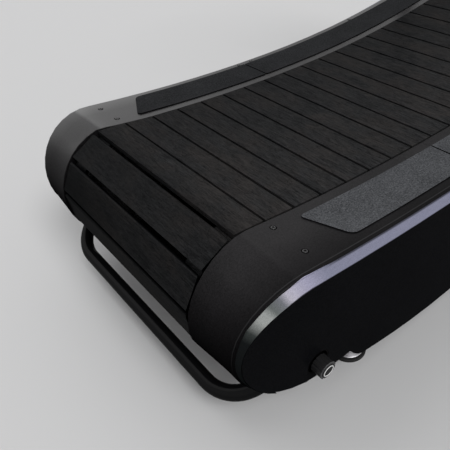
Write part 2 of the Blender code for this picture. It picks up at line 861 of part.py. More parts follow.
def resistanceKnob(knobMaterial, seatMaterial):
    seat = turned([(0.0045, 0), (0.0252, 0), (0.0252, 0.0150),
                   (0.0228, 0.0150), (0.0228, 0.0040), (0.0045, 0.0040)],
                  (knobX, -0.3450, knobZ), (0, -1, 0), 20)
    finish(seat, "knob_seat", seatMaterial)
    flutes, outline = 12, []
    for k in range(flutes * 4):
        turn = 2 * pi * k / (flutes * 4)
        radius = knobRadius - (0.0014 if k % 4 == 0 else 0.0)
        outline.append((radius * sin(turn), radius * cos(turn)))
    knob = plate([(knobX + x, knobZ + z) for x, z in outline], -knobIn, -knobRim)
    union(knob, cylinder(0.0138, (knobX, -knobRim + 0.001, knobZ), (knobX, -knobOut, knobZ), 20))
    union(knob, cylinder(0.0044, (knobX, -0.3350, knobZ), (knobX, -knobIn - 0.004, knobZ), 16))
    finish(knob, "resistance_knob", knobMaterial)
    pivotAt(knob, (knobX, -0.360, knobZ))


# ---------------------------------------------------------------- uprights and console

def uprights(material):
    corners = [((uprightFootX, uprightY, 0.110), 0), ((uprightFootX, uprightY, 0.330), 0.30),
               ((0.600, uprightY, railTopZ), 0.13), ((railEndX, uprightY, railTopZ - 0.030), 0)]
    tube = bentTube(corners, uprightRadius, wall=0.0022, sides=2, bendSteps=6)
    inner = uprightY - uprightRadius
    union(tube, box((uprightFootX - 0.045, inner, 0.120), (uprightFootX + 0.045, inner + 0.006, 0.310)))
    finish(tube, "upright_left", material)
    mirrored(tube, "upright_right", material)


def gripAxis():
    start = Vector((railEndX, uprightY, railTopZ - 0.030))
    ahead = (Vector((0.600, uprightY, railTopZ)) - start).normalized()
    return start, ahead


def handGrips(material):
    start, ahead = gripAxis()
    inner, outer, length = uprightRadius + gap, 0.0300, 0.300
    profile = [(0, -0.006), (outer - 0.004, -0.006), (outer, -0.002), (outer, length - 0.002), (outer - 0.002, length),
               (inner, length), (inner, -gap), (0, -gap)]
    grip = turned(profile, start, ahead, 16)
    finish(grip, "hand_grip_left", material)
    mirrored(grip, "hand_grip_right", material)


def crossBar(material):
    reach = uprightY - uprightRadius - gap
    profile = [(0.0160, -reach), (0.0190, -reach), (0.0190, reach), (0.0160, reach)]
    bar = turned(profile, (barX, 0, barZ), (0, 1, 0), 16)
    finish(bar, "cross_bar", material)


def consoleFrame():
    """Console axes: its face looks back and up at the runner."""
    away = Vector((-cos(consoleTilt), 0, sin(consoleTilt)))
    up = Vector((sin(consoleTilt), 0, cos(consoleTilt)))
    place = Vector((barX - 0.018, 0, barZ + 0.115))
    return Matrix((
        (up.x, 0, away.x, place.x),
        (0, 1, 0, 0),
        (up.z, 0, away.z, place.z),
        (0, 0, 0, 1)))


def consoleBox(low, high, bevel=0.0, segments=3):
    item = box(low, high)
    if bevel:
        edge = item.modifiers.new("rounding", "BEVEL")
        edge.width = bevel
        edge.segments = segments
        bake(item)
    return item


def console(housingMaterial, displayMaterial, buttonMaterial):
    frame = consoleFrame()
    housing = consoleBox((-0.085, -0.150, -0.034), (0.085, 0.150, 0.0), 0.010, 2)
    cut(housing, consoleBox((-0.035, -0.120, -0.004), (0.065, 0.120, 0.010)))
    for y in buttonY:
        hole = cylinder(0.0107, (-0.058, y, -0.0085), (-0.058, y, 0.010), 16)
        cut(housing, hole)
    housing.matrix_basis = frame
    applyTransform(housing)
    clamp = box((barX - 0.030, -0.045, barZ - 0.030), (barX + 0.030, 0.045, barZ + 0.060))
    union(housing, clamp)
    cut(housing, cylinder(0.0193, (barX, -0.06, barZ), (barX, 0.06, barZ), 20))
    finish(housing, "console_housing", housingMaterial)
    display = consoleBox((-0.0347, -0.1197, -0.0037), (0.0647, 0.1197, -0.0005))
    display.matrix_basis = frame
    applyTransform(display)
    finish(display, "console_display", displayMaterial)
    for name, y in zip(("start_button", "mode_button", "stop_button"), buttonY):
        button = turned([(0, -0.0055), (0.0100, -0.0055), (0.0100, 0.0018), (0.0090, 0.0028), (0, 0.0028)],
                        (-0.058, y, 0), (0, 0, 1), 16)
        button.matrix_basis = frame
        applyTransform(button)
        finish(button, name, buttonMaterial)
        pivotAt(button, frame @ Vector((-0.058, y, 0)))


# ---------------------------------------------------------------- building

def build():
    clearScene()
    shell = makeMaterial("black_shell", (0.020, 0.019, 0.020), 0.45)
    panel = makeMaterial("black_panel", (0.008, 0.008, 0.009), 0.35)
    trim = makeMaterial("silver_trim", (0.28, 0.28, 0.34), 0.38, 0.6)
    slat = makeMaterial("charcoal_slat", (0.018, 0.018, 0.019), 0.62)
    pad = makeMaterial("rough_pad", (0.045, 0.046, 0.048), 0.95)
    paint = makeMaterial("black_paint", (0.010, 0.010, 0.011), 0.25)
    frame = makeMaterial("frame_paint", (0.015, 0.015, 0.016), 0.40)
    steel = makeMaterial("steel", (0.56, 0.56, 0.57), 0.32, 1.0)
    rubber = makeMaterial("rubber", (0.015, 0.015, 0.015), 0.85)
    pulley = makeMaterial("cast_pulley", (0.10, 0.10, 0.11), 0.55, 0.8)
    roller = makeMaterial("roller_plastic", (0.05, 0.05, 0.05), 0.50)
    disc = makeMaterial("brake_disc_metal", (0.70, 0.70, 0.71), 0.25, 1.0)
    display = makeMaterial("display_window", (0.01, 0.01, 0.012), 0.08)
    button = makeMaterial("button_plastic", (0.30, 0.30, 0.31), 0.50)
    knob = makeMaterial("knob_plastic", (0.022, 0.022, 0.022), 0.50)

    runningBelt(solveReturn(), slat)
    covers(shell)
    gripPads(pad)
    sidePanels(panel)
    trims(trim)
    sidePlates(frame)
    baseRails(frame)
    crossTubes(frame)
    rearHandle(paint)
    levellingFeet(steel)
    transportWheels(rubber)
    axles(steel)
    pulleys(pulley)
    bearings(pulley)
    guideRollers(roller)
    magneticBrake(disc, frame)
    resistanceKnob(knob, shell)
    uprights(paint)
    handGrips(rubber)
    crossBar(paint)
    console(shell, display, button)


build()
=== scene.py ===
import bpy
import bmesh
import json
from math import sin, cos, pi, radians, sqrt
from mathutils import Vector, Matrix
from mathutils.bvhtree import BVHTree

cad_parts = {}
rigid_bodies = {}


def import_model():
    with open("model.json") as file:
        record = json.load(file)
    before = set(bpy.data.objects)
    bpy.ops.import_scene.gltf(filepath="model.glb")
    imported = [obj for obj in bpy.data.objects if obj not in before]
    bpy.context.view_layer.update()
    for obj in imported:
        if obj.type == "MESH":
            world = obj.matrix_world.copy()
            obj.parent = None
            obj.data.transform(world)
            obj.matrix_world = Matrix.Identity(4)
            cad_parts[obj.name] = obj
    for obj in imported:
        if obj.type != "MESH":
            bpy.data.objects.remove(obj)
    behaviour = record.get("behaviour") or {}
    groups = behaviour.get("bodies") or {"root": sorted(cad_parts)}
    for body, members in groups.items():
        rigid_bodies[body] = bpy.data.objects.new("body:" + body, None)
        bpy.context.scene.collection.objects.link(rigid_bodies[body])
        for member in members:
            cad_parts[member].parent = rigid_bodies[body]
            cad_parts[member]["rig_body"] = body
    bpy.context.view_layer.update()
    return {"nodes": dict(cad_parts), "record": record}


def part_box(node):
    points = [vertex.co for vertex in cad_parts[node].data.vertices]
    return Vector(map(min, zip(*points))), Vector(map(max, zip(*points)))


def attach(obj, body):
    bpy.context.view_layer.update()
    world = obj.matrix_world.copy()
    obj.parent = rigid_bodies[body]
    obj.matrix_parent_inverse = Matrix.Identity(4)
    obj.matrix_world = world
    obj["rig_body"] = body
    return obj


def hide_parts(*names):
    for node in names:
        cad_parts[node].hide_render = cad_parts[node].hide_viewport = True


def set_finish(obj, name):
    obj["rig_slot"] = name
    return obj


# Curved manual treadmill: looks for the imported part. X runs forward, Y to the runner's left, Z up.

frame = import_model()
scene = bpy.context.scene
print("frame loaded:", len(frame["nodes"]), "parts")


# Node values that read as plain sums

class Wire:
    def __init__(self, nodes, socket):
        self.nodes, self.socket = nodes, socket

    def __add__(self, other):
        return self.nodes.maths("ADD", self, other)

    def __sub__(self, other):
        return self.nodes.maths("SUBTRACT", self, other)

    def __rsub__(self, other):
        return self.nodes.maths("SUBTRACT", other, self)

    def __mul__(self, other):
        return self.nodes.maths("MULTIPLY", self, other)

    def __pow__(self, other):
        return self.nodes.maths("POWER", self, other)

    def __gt__(self, other):
        return self.nodes.maths("GREATER_THAN", self, other)

    __radd__, __rmul__ = __add__, __mul__  # these two read the same both ways


class Nodes:
    def __init__(self, tree):
        self.tree = tree

    def add(self, kind, settings=None, inputs=None, out=0):
        node = self.tree.nodes.new("ShaderNode" + kind)
        for name, value in (settings or {}).items():
            if name == "stops":
                self.setStops(node.color_ramp, value)
            else:
                setattr(node, name, value)
        for name, value in (inputs or {}).items():
            self.feed(node.inputs[name], value)
        return Wire(self, node.outputs[out])

    def feed(self, socket, value):
        if isinstance(value, Wire):
            self.tree.links.new(value.socket, socket)
        else:
            socket.default_value = value

    def setStops(self, ramp, stops):
        while len(ramp.elements) < len(stops):
            ramp.elements.new(0.5)
        for element, (position, colour) in zip(ramp.elements, stops):
            element.position = position
            element.color = (*colour, 1)

    def maths(self, operation, *values):
        return self.add("Math", {"operation": operation}, dict(enumerate(values)))

    def size(self, value):
        return self.maths("ABSOLUTE", value)

    def most(self, first, second):
        return self.maths("MAXIMUM", first, second)

    def slope(self, across, up):
        # the angle from straight up towards across, in radians
        return self.maths("ARCTAN2", across, up)

    def spread(self, value, low, high, fromLow=0.0, fromHigh=1.0):
        return self.add("MapRange", None, {
            "Value": value, "From Min": fromLow, "From Max": fromHigh,
            "To Min": low, "To Max": high})

    def ramp(self, value, stops):
        return self.add("ValToRGB", {"stops": stops}, {"Fac": value})

    def blend(self, factor, first, second):
        first = first if isinstance(first, Wire) else (*first, 1)
        second = second if isinstance(second, Wire) else (*second, 1)
        return self.add("Mix", {"data_type": "RGBA"}, {0: factor, 6: first, 7: second}, 2)

    def times(self, first, second):
        return self.add("Mix", {"data_type": "RGBA", "blend_type": "MULTIPLY"},
                        {0: 1.0, 6: first, 7: second}, 2)


class Paint(Nodes):
    def __init__(self, name, colour, roughness, metallic=0.0, gloss=0.5, coat=0.0, coatRough=0.3):
        self.material = bpy.data.materials.new(name)
        self.material.use_nodes = True
        super().__init__(self.material.node_tree)
        self.shader = self.tree.nodes["Principled BSDF"]
        self.place = self.add("TexCoord", out="Object")
        for socket, value in (("Base Color", (*colour, 1)), ("Roughness", roughness),
                              ("Metallic", metallic), ("Specular IOR Level", gloss),
                              ("Coat Weight", coat), ("Coat Roughness", coatRough)):
            self.shader.inputs[socket].default_value = value
        self.material.diffuse_color = (*colour, 1)

    def parts(self, vector=None):
        # x, y and z of a vector, or else of the place on the piece
        split = self.add("SeparateXYZ", None, {0: vector or self.place})
        return [Wire(self, output) for output in split.socket.node.outputs]

    def stretch(self, x, y, z, turn=(0, 0, 0)):
        return self.add("Mapping", None,
                        {"Vector": self.place, "Scale": (x, y, z), "Rotation": turn})

    def noise(self, scale, detail, rough, where=None, twist=0.0):
        return self.add("TexNoise", None, {
            "Vector": where or self.place, "Scale": scale, "Detail": detail,
            "Roughness": rough, "Distortion": twist}, "Fac")

    def set(self, socket, value):
        self.feed(self.shader.inputs[socket], value)

    def bump(self, height, distance, strength):
        self.set("Normal", self.add("Bump", None, {
            "Height": height, "Distance": distance, "Strength": strength}))


# Finishes

# the covers' crest, how it draws in towards both ends, and the middle of the rear bend
ends = {"crest": 0.3388, "drawIn": 0.705, "drawBy": 0.80, "roll": 0.0058, "x": 0.735, "z": 0.247}


def edgeLine(paint):
    # how far a place lies outwards of the covers' crest
    x, y, z = paint.parts()
    over = paint.most(paint.size(x) - ends["drawIn"], 0.0)
    return paint.size(y) + over * over * ends["drawBy"] - ends["crest"]


stripFinish = {
    "dark": (0.165, 0.158, 0.20), "light": (0.69, 0.675, 0.82), "paintedGlint": (0.95, 0.95, 0.95),
    "shadow": (0.006, 0.006, 0.007), "glintRun": (0.0004, 0.0016), "straight": (0.655, 0.70),
    "upper": 0.0065, "upperRun": (0.0003, 0.0022), "lowerRun": (0.0138, 0.0149),
    # from the straight run round to the bottom of the bend
    "arc": (-0.314, 1.571), "dull": (0.75, 1.05),
    # painted highlights and painted shade: colour stops set by the angle round the bend
    "sheen": ((0.00, (0.57, 0.60, 0.66)), (0.17, (0.80, 0.80, 0.87)), (0.33, (0.72, 0.71, 0.67)),
              (0.38, (0.32, 0.34, 0.31)), (0.45, (0.31, 0.35, 0.28)), (0.50, (0.84, 0.90, 0.72)),
              (0.56, (0.90, 0.96, 0.76)), (0.66, (0.12, 0.14, 0.11)), (0.74, (0.03, 0.035, 0.03))),
}


def stripTone(paint):
    # brushed silver flakes, with painted highlights and painted shade round the ends and a painted
    # highlight along the upper edge
    own = stripFinish
    x, y, z = paint.parts()
    flakes, fine = paint.noise(800, 3, 0.75), paint.noise(1900, 2, 0.8)
    mark = paint.spread(flakes * 0.5 + fine * 0.5, 0.1, 0.9, 0.30, 0.70)
    turn = paint.slope(paint.size(x) - ends["x"], z - ends["z"])
    sheen = paint.ramp(paint.spread(turn, 0, 1, *own["arc"]), own["sheen"])
    flake = paint.blend(mark, own["dark"], own["light"])
    # painted highlight along the strip's upper edge, bright only where the painted sheen is bright
    paintedGlint = paint.spread(edgeLine(paint), 0.7, 0, *own["glintRun"])
    tone = paint.times(paint.blend(paintedGlint, flake, own["paintedGlint"]), sheen)
    return tone, paint.spread(turn, 0.35, 0, *own["dull"])


def stripPaint():
    own = stripFinish
    paint = Paint("stripPaint", own["light"], 0.42, gloss=0.0)
    x, y, z = paint.parts()
    tone, metal = stripTone(paint)
    flakes = paint.noise(520, 3, 0.75)
    # painted shade: darker along the upper edge under the cover's roll on the straight runs, and
    # along the lower edge
    out = edgeLine(paint) - own["upper"]
    bare = paint.spread(paint.size(x), 0, 1, *own["straight"])
    lit = paint.most(paint.spread(out, 0.25, 1, *own["upperRun"]), bare)
    lower = paint.spread(out, 1, 0.05, *own["lowerRun"])
    paint.set("Base Color", paint.blend(lit * lower, own["shadow"], tone))
    paint.set("Metallic", metal)
    paint.set("Roughness", paint.spread(flakes, 0.34, 0.56))
    paint.bump(flakes, 0.0001, 0.4)
    return paint.material


slatFinish = {
    "dark": (0.0075, 0.0077, 0.0082), "light": (0.0440, 0.0443, 0.0458),
    "brown": (0.0425, 0.0392, 0.0382), "cracked": (0.0030, 0.0030, 0.0032),
    "scuffed": (0.070, 0.072, 0.074), "open": (0.0008, 0.0008, 0.0009),
    "shade": (0.0020, 0.0024, 0.0028), "grain": 300, "run": 0.12, "crack": 85,
    # where the slats' side faces get painted shade round the rear drum, and where their tops get
    # painted shade
    "edge": (0.098, 0.116), "openX": (-0.800, -0.770), "bendX": (-0.765, -0.715),
    "acrossY": (-0.20, 0.20), "deepX": (-0.835, -0.790), "deepZ": (0.300, 0.340),
    "deepY": (-0.02, 0.17),
}


def slatRubber():
    own = slatFinish
    paint = Paint("slatRubber", own["light"], 0.6, gloss=0.0, coat=0.05)
    x, y, z = paint.parts()
    grain = paint.noise(own["grain"], 4, 0.66, paint.stretch(1, own["run"], 1), 0.8)
    fine = paint.noise(own["grain"] * 3, 3, 0.65, paint.stretch(1, 0.25, 1))
    patches = paint.noise(24, 3, 0.6, paint.stretch(1, 0.5, 1), 0.8)
    cloud = paint.noise(6, 3, 0.6)
    wander = paint.stretch(1, 0.42, 1, (0, 0, 0.25))
    cell = paint.add("TexVoronoi", {"feature": "DISTANCE_TO_EDGE"},
                     {"Vector": wander, "Scale": own["crack"]})
    crack = paint.spread(cell + (grain - 0.5) * 0.16, 1, 0, 0.005, 0.045)
    scuff = paint.noise(75, 2, 0.5, paint.stretch(1, 0.10, 1, (0, 0, -0.5)))
    mark = grain * 0.40 + fine * 0.30 + patches * 0.16 + cloud * 0.14
    browned = paint.spread(patches * 0.5 + cloud * 0.5, 0, 1, 0.44, 0.58)
    tone = paint.blend(paint.spread(mark, 0, 1, 0.40, 0.60), own["dark"],
                       paint.blend(browned, own["light"], own["brown"]))
    cracked = crack * paint.spread(patches, 0.04, 0.38, 0.42, 0.60)
    tone = paint.blend(cracked, tone, own["cracked"])
    tone = paint.blend(paint.spread(scuff, 0, 0.5, 0.74, 0.78), tone, own["scuffed"])
    # painted shade: the slats' long side faces are painted near black where they open round the rear
    # drum
    facing = paint.parts(paint.add("NewGeometry", out="Normal"))
    outward = facing[0] * (x + ends["x"]) + facing[2] * (z - ends["z"])
    gapShade = paint.spread(outward, 1, 0, *own["edge"]) * paint.spread(x, 1, 0, *own["openX"])
    tone = paint.blend(gapShade, tone, own["open"])
    # and their tops get painted shade towards the rear bend, the far side and the bottom
    lit = paint.spread(x, 0.55, 1, *own["bendX"]) * paint.spread(y, 1, 0.62, *own["acrossY"])
    deep = (paint.spread(x, 1, 0, *own["deepX"]) * paint.spread(z, 1, 0, *own["deepZ"])
            * paint.spread(y, 0, 0.60, *own["deepY"]))
    paint.set("Base Color", paint.blend(lit * (1 - deep), own["shade"], tone))
    paint.set("Roughness", paint.spread(grain * 0.6 + fine * 0.4, 0.75, 0.55))
    paint.bump(grain * 0.5 + fine * 0.2 - crack * 0.3, 0.0007, 0.7)
    return paint.material


shellFinish = {
    "dark": (0.0060, 0.0057, 0.0062), "light": (0.0205, 0.0190, 0.0206),
    "shade": (0.0020, 0.0020, 0.0022), "rolledShade": (0.004, 0.004, 0.0045),
    "crest": (0.042, 0.042, 0.044), "coat": 0.35,
    # silver creeps up the rolled edge towards the bend, and back again round it
    "creep": 0.0039, "creepX": (0.662, 0.736), "backX": (0.740, 0.768),
    "underBy": 0.0018, "underX": (0.804, 0.830),
    "crestHighlightRun": (0.0002, 0.0010), "rollRun": (0.0006, 0.0022), "highZ": (0.195, 0.352),
    "farY": (0.12, 0.22), "rimY": (0.29, 0.335), "nearY": (-0.335, -0.265),
    "flatX": (-0.752, -0.744),
}


def shellPlastic():
    own = shellFinish
    paint = Paint("shellPlastic", own["light"], 0.5, gloss=0.0, coat=own["coat"], coatRough=0.32)
    x, y, z = paint.parts()
    cloud, pores = paint.noise(6, 3, 0.6), paint.noise(1400, 2, 0.6)
    leather = paint.noise(420, 3, 0.65, twist=0.5)
    out, along = edgeLine(paint), paint.size(x)
    closing = paint.most(paint.spread(along, ends["roll"], own["creep"], *own["creepX"]),
                         paint.spread(along, own["creep"], ends["roll"], *own["backX"]))
    closing = closing - paint.spread(along, 0, own["underBy"], *own["underX"])
    silver = out - 0.0004 > closing
    # painted highlight along the crest, and painted shade on the rolled edge beyond it
    crest = paint.spread(paint.size(out), 1, 0, *own["crestHighlightRun"])
    rolledShade = paint.spread(out, 1, 0.85, *own["rollRun"])
    # painted shade: darker towards the bottom and along the near cover's outer edge
    high = paint.spread(z, 0, 1, *own["highZ"])
    farSheen = paint.spread(y, 1, 2.3, *own["farY"]) * paint.spread(y, 1, 1.4, *own["rimY"])
    shade = paint.spread(y, 0.50, 1, *own["nearY"])
    mark = paint.spread(leather * 0.7 + cloud * 0.3, 0, 1, 0.38, 0.62)
    skin = paint.blend(mark, own["dark"], own["light"])
    skin = paint.blend((high * 0.82 + 0.18) * shade, own["shade"], skin)
    skin = paint.blend(rolledShade, own["rolledShade"], skin)
    skin = paint.blend(crest * high * 0.7, skin, own["crest"])
    tone, metal = stripTone(paint)
    paint.set("Base Color", paint.blend(silver, skin, tone))
    paint.set("Metallic", silver * metal)
    # painted sheen: the coat is strongest high up and on the far cover, and weaker behind the crease
    # at the rear bend, on the rolled edge and along the near outer edge
    flat = paint.spread(x, 0.60, 1, *own["flatX"])
    gleam = high ** 3.0 * flat * rolledShade * farSheen * shade * (1 - silver)
    paint.set("Coat Weight", gleam * own["coat"])
    paint.set("Roughness", paint.spread(cloud * 0.5 + pores * 0.5, 0.36, 0.60))
    paint.bump(leather * 0.8 + pores * 0.2, 0.00016, 0.5)
    return paint.material


padFinish = {"dark": (0.022, 0.023, 0.025), "light": (0.122, 0.126, 0.135),
             "wall": (0.004, 0.004, 0.004), "coat": 0.06, "farY": (0.05, 0.20),
             "wallTo": (0.55, 0.85)}


def padGrit():
    own = padFinish
    paint = Paint("padGrit", own["light"], 0.9, gloss=0.0, coat=own["coat"], coatRough=0.45)
    x, y, z = paint.parts()
    up = paint.parts(paint.add("NewGeometry", out="Normal"))[2]
    grit = paint.add("TexVoronoi", None, {"Vector": paint.place, "Scale": 420}, "Distance")
    specks, fine = paint.noise(330, 3, 0.7), paint.noise(900, 3, 0.75)
    cloud = paint.noise(14, 3, 0.55)
    mark = specks * 0.40 + fine * 0.28 + grit * 0.20 + cloud * 0.12
    top = paint.blend(paint.spread(mark, 0, 1, 0.37, 0.63), own["dark"], own["light"])
    # painted shade on the far pads, and a painted sheen of coat on the near ones
    near = paint.spread(y, 1, 0.30, *own["farY"])
    top = paint.blend(near, own["wall"], top)
    paint.set("Coat Weight", near * own["coat"])
    # painted shade on the pads' side walls
    paint.set("Base Color", paint.blend(paint.spread(up, 0, 1, *own["wallTo"]), own["wall"], top))
    paint.set("Roughness", paint.spread(grit, 0.7, 0.95))
    paint.bump(grit * 0.5 + specks * 0.5, 0.0005, 0.9)
    return paint.material


panelFinish = {"plain": (0.006, 0.006, 0.0066), "dark": (0.0042, 0.0045, 0.0052),
               "light": (0.0090, 0.0091, 0.0104)}


def panelPlastic():
    own = panelFinish
    paint = Paint("panelPlastic", own["plain"], 0.45, gloss=0.0, coat=0.03, coatRough=0.3)
    cloud, pores = paint.noise(5, 3, 0.6), paint.noise(420, 3, 0.6)
    mark = paint.spread(pores * 0.75 + cloud * 0.25, 0, 1, 0.38, 0.62)
    paint.set("Base Color", paint.blend(mark, own["dark"], own["light"]))
    paint.set("Roughness", paint.spread(cloud * 0.5 + pores * 0.5, 0.36, 0.55))
    paint.bump(pores, 0.00008, 0.4)
    return paint.material


def mottled(name, tones, roughness, wear, grain, cloud, share, depth, strength, **shader):
    # clouds of two tones, under a fine grain that has its share in the wear of the gloss
    paint = Paint(name, tones[0], roughness, **shader)
    fine, soft = paint.noise(*grain), paint.noise(*cloud)
    paint.set("Base Color", paint.blend(soft, tones[1], tones[2]))
    paint.set("Roughness", paint.spread(soft * (1 - share) + fine * share, *wear))
    paint.bump(fine, depth, strength)
    return paint.material


def blackGloss():
    tones = (0.006, 0.006, 0.0065), (0.0035, 0.0035, 0.004), (0.0070, 0.0070, 0.0075)
    return mottled("blackGloss", tones, 0.3, (0.24, 0.40), (420, 2, 0.5), (14, 3, 0.6),
                   0, 0.00012, 0.35, gloss=0.0, coat=0.15, coatRough=0.16)


def framePaint():
    tones = (0.012, 0.012, 0.013), (0.009, 0.009, 0.010), (0.017, 0.017, 0.018)
    return mottled("framePaint", tones, 0.45, (0.38, 0.58), (600, 2, 0.5), (11, 3, 0.6),
                   0.4, 0.00015, 0.5, gloss=0.3)


def castIron():
    tones = (0.09, 0.09, 0.095), (0.055, 0.055, 0.058), (0.12, 0.12, 0.125)
    return mottled("castIron", tones, 0.6, (0.45, 0.72), (380, 4, 0.7), (24, 3, 0.6),
                   1, 0.0004, 0.7, metallic=0.6)


def displayGlass():
    tones = (0.010, 0.011, 0.013), (0.007, 0.008, 0.010), (0.014, 0.015, 0.018)
    return mottled("displayGlass", tones, 0.08, (0.04, 0.16), (18, 4, 0.6), (18, 4, 0.6),
                   1, 0.0001, 0.1)


def shaded(colour, *shares):
    return [colour] + [tuple(c * share for c in colour) for share in shares]


def softRubber():
    return mottled("softRubber", shaded((0.012, 0.012, 0.012), 0.6, 1.5), 0.72, (0.62, 0.86),
                   (1100, 3, 0.6), (30, 3, 0.6), 0.5, 0.0002, 0.6, gloss=0.3)


def darkPlastic(name, colour, roughness, coat=0.4):
    return mottled(name, shaded(colour, 0.75, 1.25), roughness,
                   (roughness - 0.08, roughness + 0.1), (1300, 2, 0.6), (40, 3, 0.6), 0.5,
                   0.00008, 0.5, gloss=0.0, coat=coat, coatRough=roughness * 0.6)


def brightSteel(name, colour, roughness):
    paint = Paint(name, colour, roughness, metallic=1.0)
    lines, cloud = paint.noise(900, 3, 0.6, paint.stretch(1, 1, 0.12)), paint.noise(45, 3, 0.6)
    bright, darker = shaded(colour, 0.62)
    paint.set("Base Color", paint.blend(paint.spread(cloud, 0, 1, 0.35, 0.6), darker, bright))
    wear = paint.spread(lines * 0.5 + cloud * 0.5, roughness - 0.08, roughness + 0.16)
    paint.set("Roughness", wear)
    paint.bump(lines, 0.00005, 0.4)
    return paint.material


def turnedDisc():
    # fine rings round the rear axle
    paint = Paint("turnedDisc", (0.70, 0.70, 0.71), 0.3, metallic=1.0)
    axle, ringScale = {"x": -0.735, "z": 0.253}, 9000
    x, y, z = paint.parts()
    x, z = x - axle["x"], z - axle["z"]
    radius = (x * x + z * z) ** 0.5
    rings = paint.maths("SINE", radius * ringScale)
    smudge = paint.noise(30, 3, 0.6)
    paint.set("Base Color", paint.blend(smudge, (0.58, 0.58, 0.60), (0.76, 0.76, 0.77)))
    paint.set("Roughness", paint.spread(rings * 0.06 + smudge, 0.22, 0.42))
    paint.bump(rings, 0.00004, 0.5)
    return paint.material


knobFinish = {"plain": (0.020, 0.020, 0.021), "dark": (0.012, 0.012, 0.0125),
              "light": (0.028, 0.028, 0.029), "paintedGlint": (0.16, 0.16, 0.165),
              "face": (0.003, 0.003, 0.003), "x": -0.7060, "z": 0.1625, "rimY": -0.3822,
              "rimWide": (0.0003, 0.0010), "rimFrom": (0.0140, 0.0150), "faceTo": (0.0096, 0.0100)}


def knobPlastic():
    # a painted highlight along the front rim, black inside the ring on its face
    own = knobFinish
    paint = Paint("knobPlastic", own["plain"], 0.36, gloss=0.0, coat=0.35, coatRough=0.22)
    x, y, z = paint.parts()
    cloud, nicks = paint.noise(40, 3, 0.6), paint.noise(420, 3, 0.7)
    across, up = x - own["x"], z - own["z"]
    out = (across * across + up * up) ** 0.5
    skin = paint.blend(cloud, own["dark"], own["light"])
    line = paint.spread(paint.size(y - own["rimY"]), 1, 0, *own["rimWide"])
    line = line * paint.spread(nicks, 0.3, 1, 0.35, 0.65)
    skin = paint.blend(line * paint.spread(out, 0, 1, *own["rimFrom"]), skin, own["paintedGlint"])
    face = paint.spread(out, 1, 0, *own["faceTo"])
    paint.set("Base Color", paint.blend(face, skin, own["face"]))
    paint.set("Roughness", paint.spread(cloud, 0.30, 0.46))
    paint.bump(nicks, 0.00008, 0.4)
    return paint.material


look = {
    "charcoal_slat": slatRubber(),
    "black_shell": shellPlastic(),
    "rough_pad": padGrit(),
    "black_panel": panelPlastic(),
    "silver_trim": stripPaint(),
    "frame_paint": framePaint(),
    "black_paint": blackGloss(),
    "steel": brightSteel("brightSteel", (0.66, 0.65, 0.68), 0.40),
    "rubber": softRubber(),
    "cast_pulley": castIron(),
    "roller_plastic": darkPlastic("rollerPlastic", (0.05, 0.05, 0.052), 0.5),
    "brake_disc_metal": turnedDisc(),
    "display_window": displayGlass(),
    "button_plastic": darkPlastic("buttonPlastic", (0.30, 0.30, 0.31), 0.4),
    "knob_plastic": knobPlastic(),
    "seat_plastic": darkPlastic("seatPlastic", (0.0045, 0.0045, 0.0048), 0.45, 0.05),
    "digits": darkPlastic("paleDigits", (0.50, 0.56, 0.55), 0.5, 0.1),
    "pale_ring": darkPlastic("paleRing", (0.93, 0.93, 0.93), 0.4),
    "black_screw": darkPlastic("blackScrew", (0.020, 0.020, 0.021), 0.30, 0.8),
    "deep_black": darkPlastic("deepBlack", (0.003, 0.003, 0.003), 0.6, 0.0),
    "dark_steel": brightSteel("darkSteel", (0.030, 0.030, 0.032), 0.45),
}
slotOf = {row["node"]: row["material_slot"] for row in frame["record"]["subparts"]}
bodyOf = {node: body for body, nodes in frame["record"]["behaviour"]["bodies"].items()
          for node in nodes}
print("finishes mixed:", len(bpy.data.materials))


# Picking, editing and finishing a piece

mergeWithin = 0.00001


def deselectAll():
    bpy.ops.object.select_all(action="DESELECT")


def activate(piece):
    deselectAll()
    piece.select_set(True)
    bpy.context.view_layer.objects.active = piece


def editAll(piece, kind="FACE"):
    activate(piece)
    bpy.ops.object.mode_set(mode="EDIT")
    bpy.ops.mesh.select_mode(type=kind)
    bpy.ops.mesh.select_all(action="SELECT")


def leaveEdit():
    bpy.ops.object.mode_set(mode="OBJECT")


def pick(piece, kind, test):
    # selects only the faces, edges or points that pass the test, in edit mode
    editAll(piece, kind)
    bpy.ops.mesh.select_all(action="DESELECT")
    mesh = bmesh.from_edit_mesh(piece.data)
    for item in {"VERT": mesh.verts, "EDGE": mesh.edges, "FACE": mesh.faces}[kind]:
        item.select_set(bool(test(item)))
    mesh.select_flush(False)
    mesh.select_flush(True)
    bmesh.update_edit_mesh(piece.data)


def tidyMesh(piece):
    editAll(piece)
    bpy.ops.mesh.remove_doubles(threshold=mergeWithin)
    bpy.ops.mesh.normals_make_consistent()
    leaveEdit()


def rounding(piece, width, segments=2, angle=35):
    edge = piece.modifiers.new("rounding", "BEVEL")
    edge.width, edge.segments = width, segments
    edge.limit_method, edge.angle_limit = "ANGLE", radians(angle)
    even = piece.modifiers.new("evenShading", "WEIGHTED_NORMAL")
    even.keep_sharp = True


def bakeModifiers(piece):
    activate(piece)
    for modifier in list(piece.modifiers):
        bpy.ops.object.modifier_apply(modifier=modifier.name)


def settle(piece, name, body, slot, material=None, angle=35):
    activate(piece)
    bpy.ops.object.transform_apply()
    bpy.ops.object.shade_smooth_by_angle(angle=radians(angle))
    bakeModifiers(piece)
    piece.name = name
    piece.data.name = name
    piece.data.materials.clear()
    piece.data.materials.append(material or look[slot])
    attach(piece, body)
    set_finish(piece, slot)
    deselectAll()
    return piece


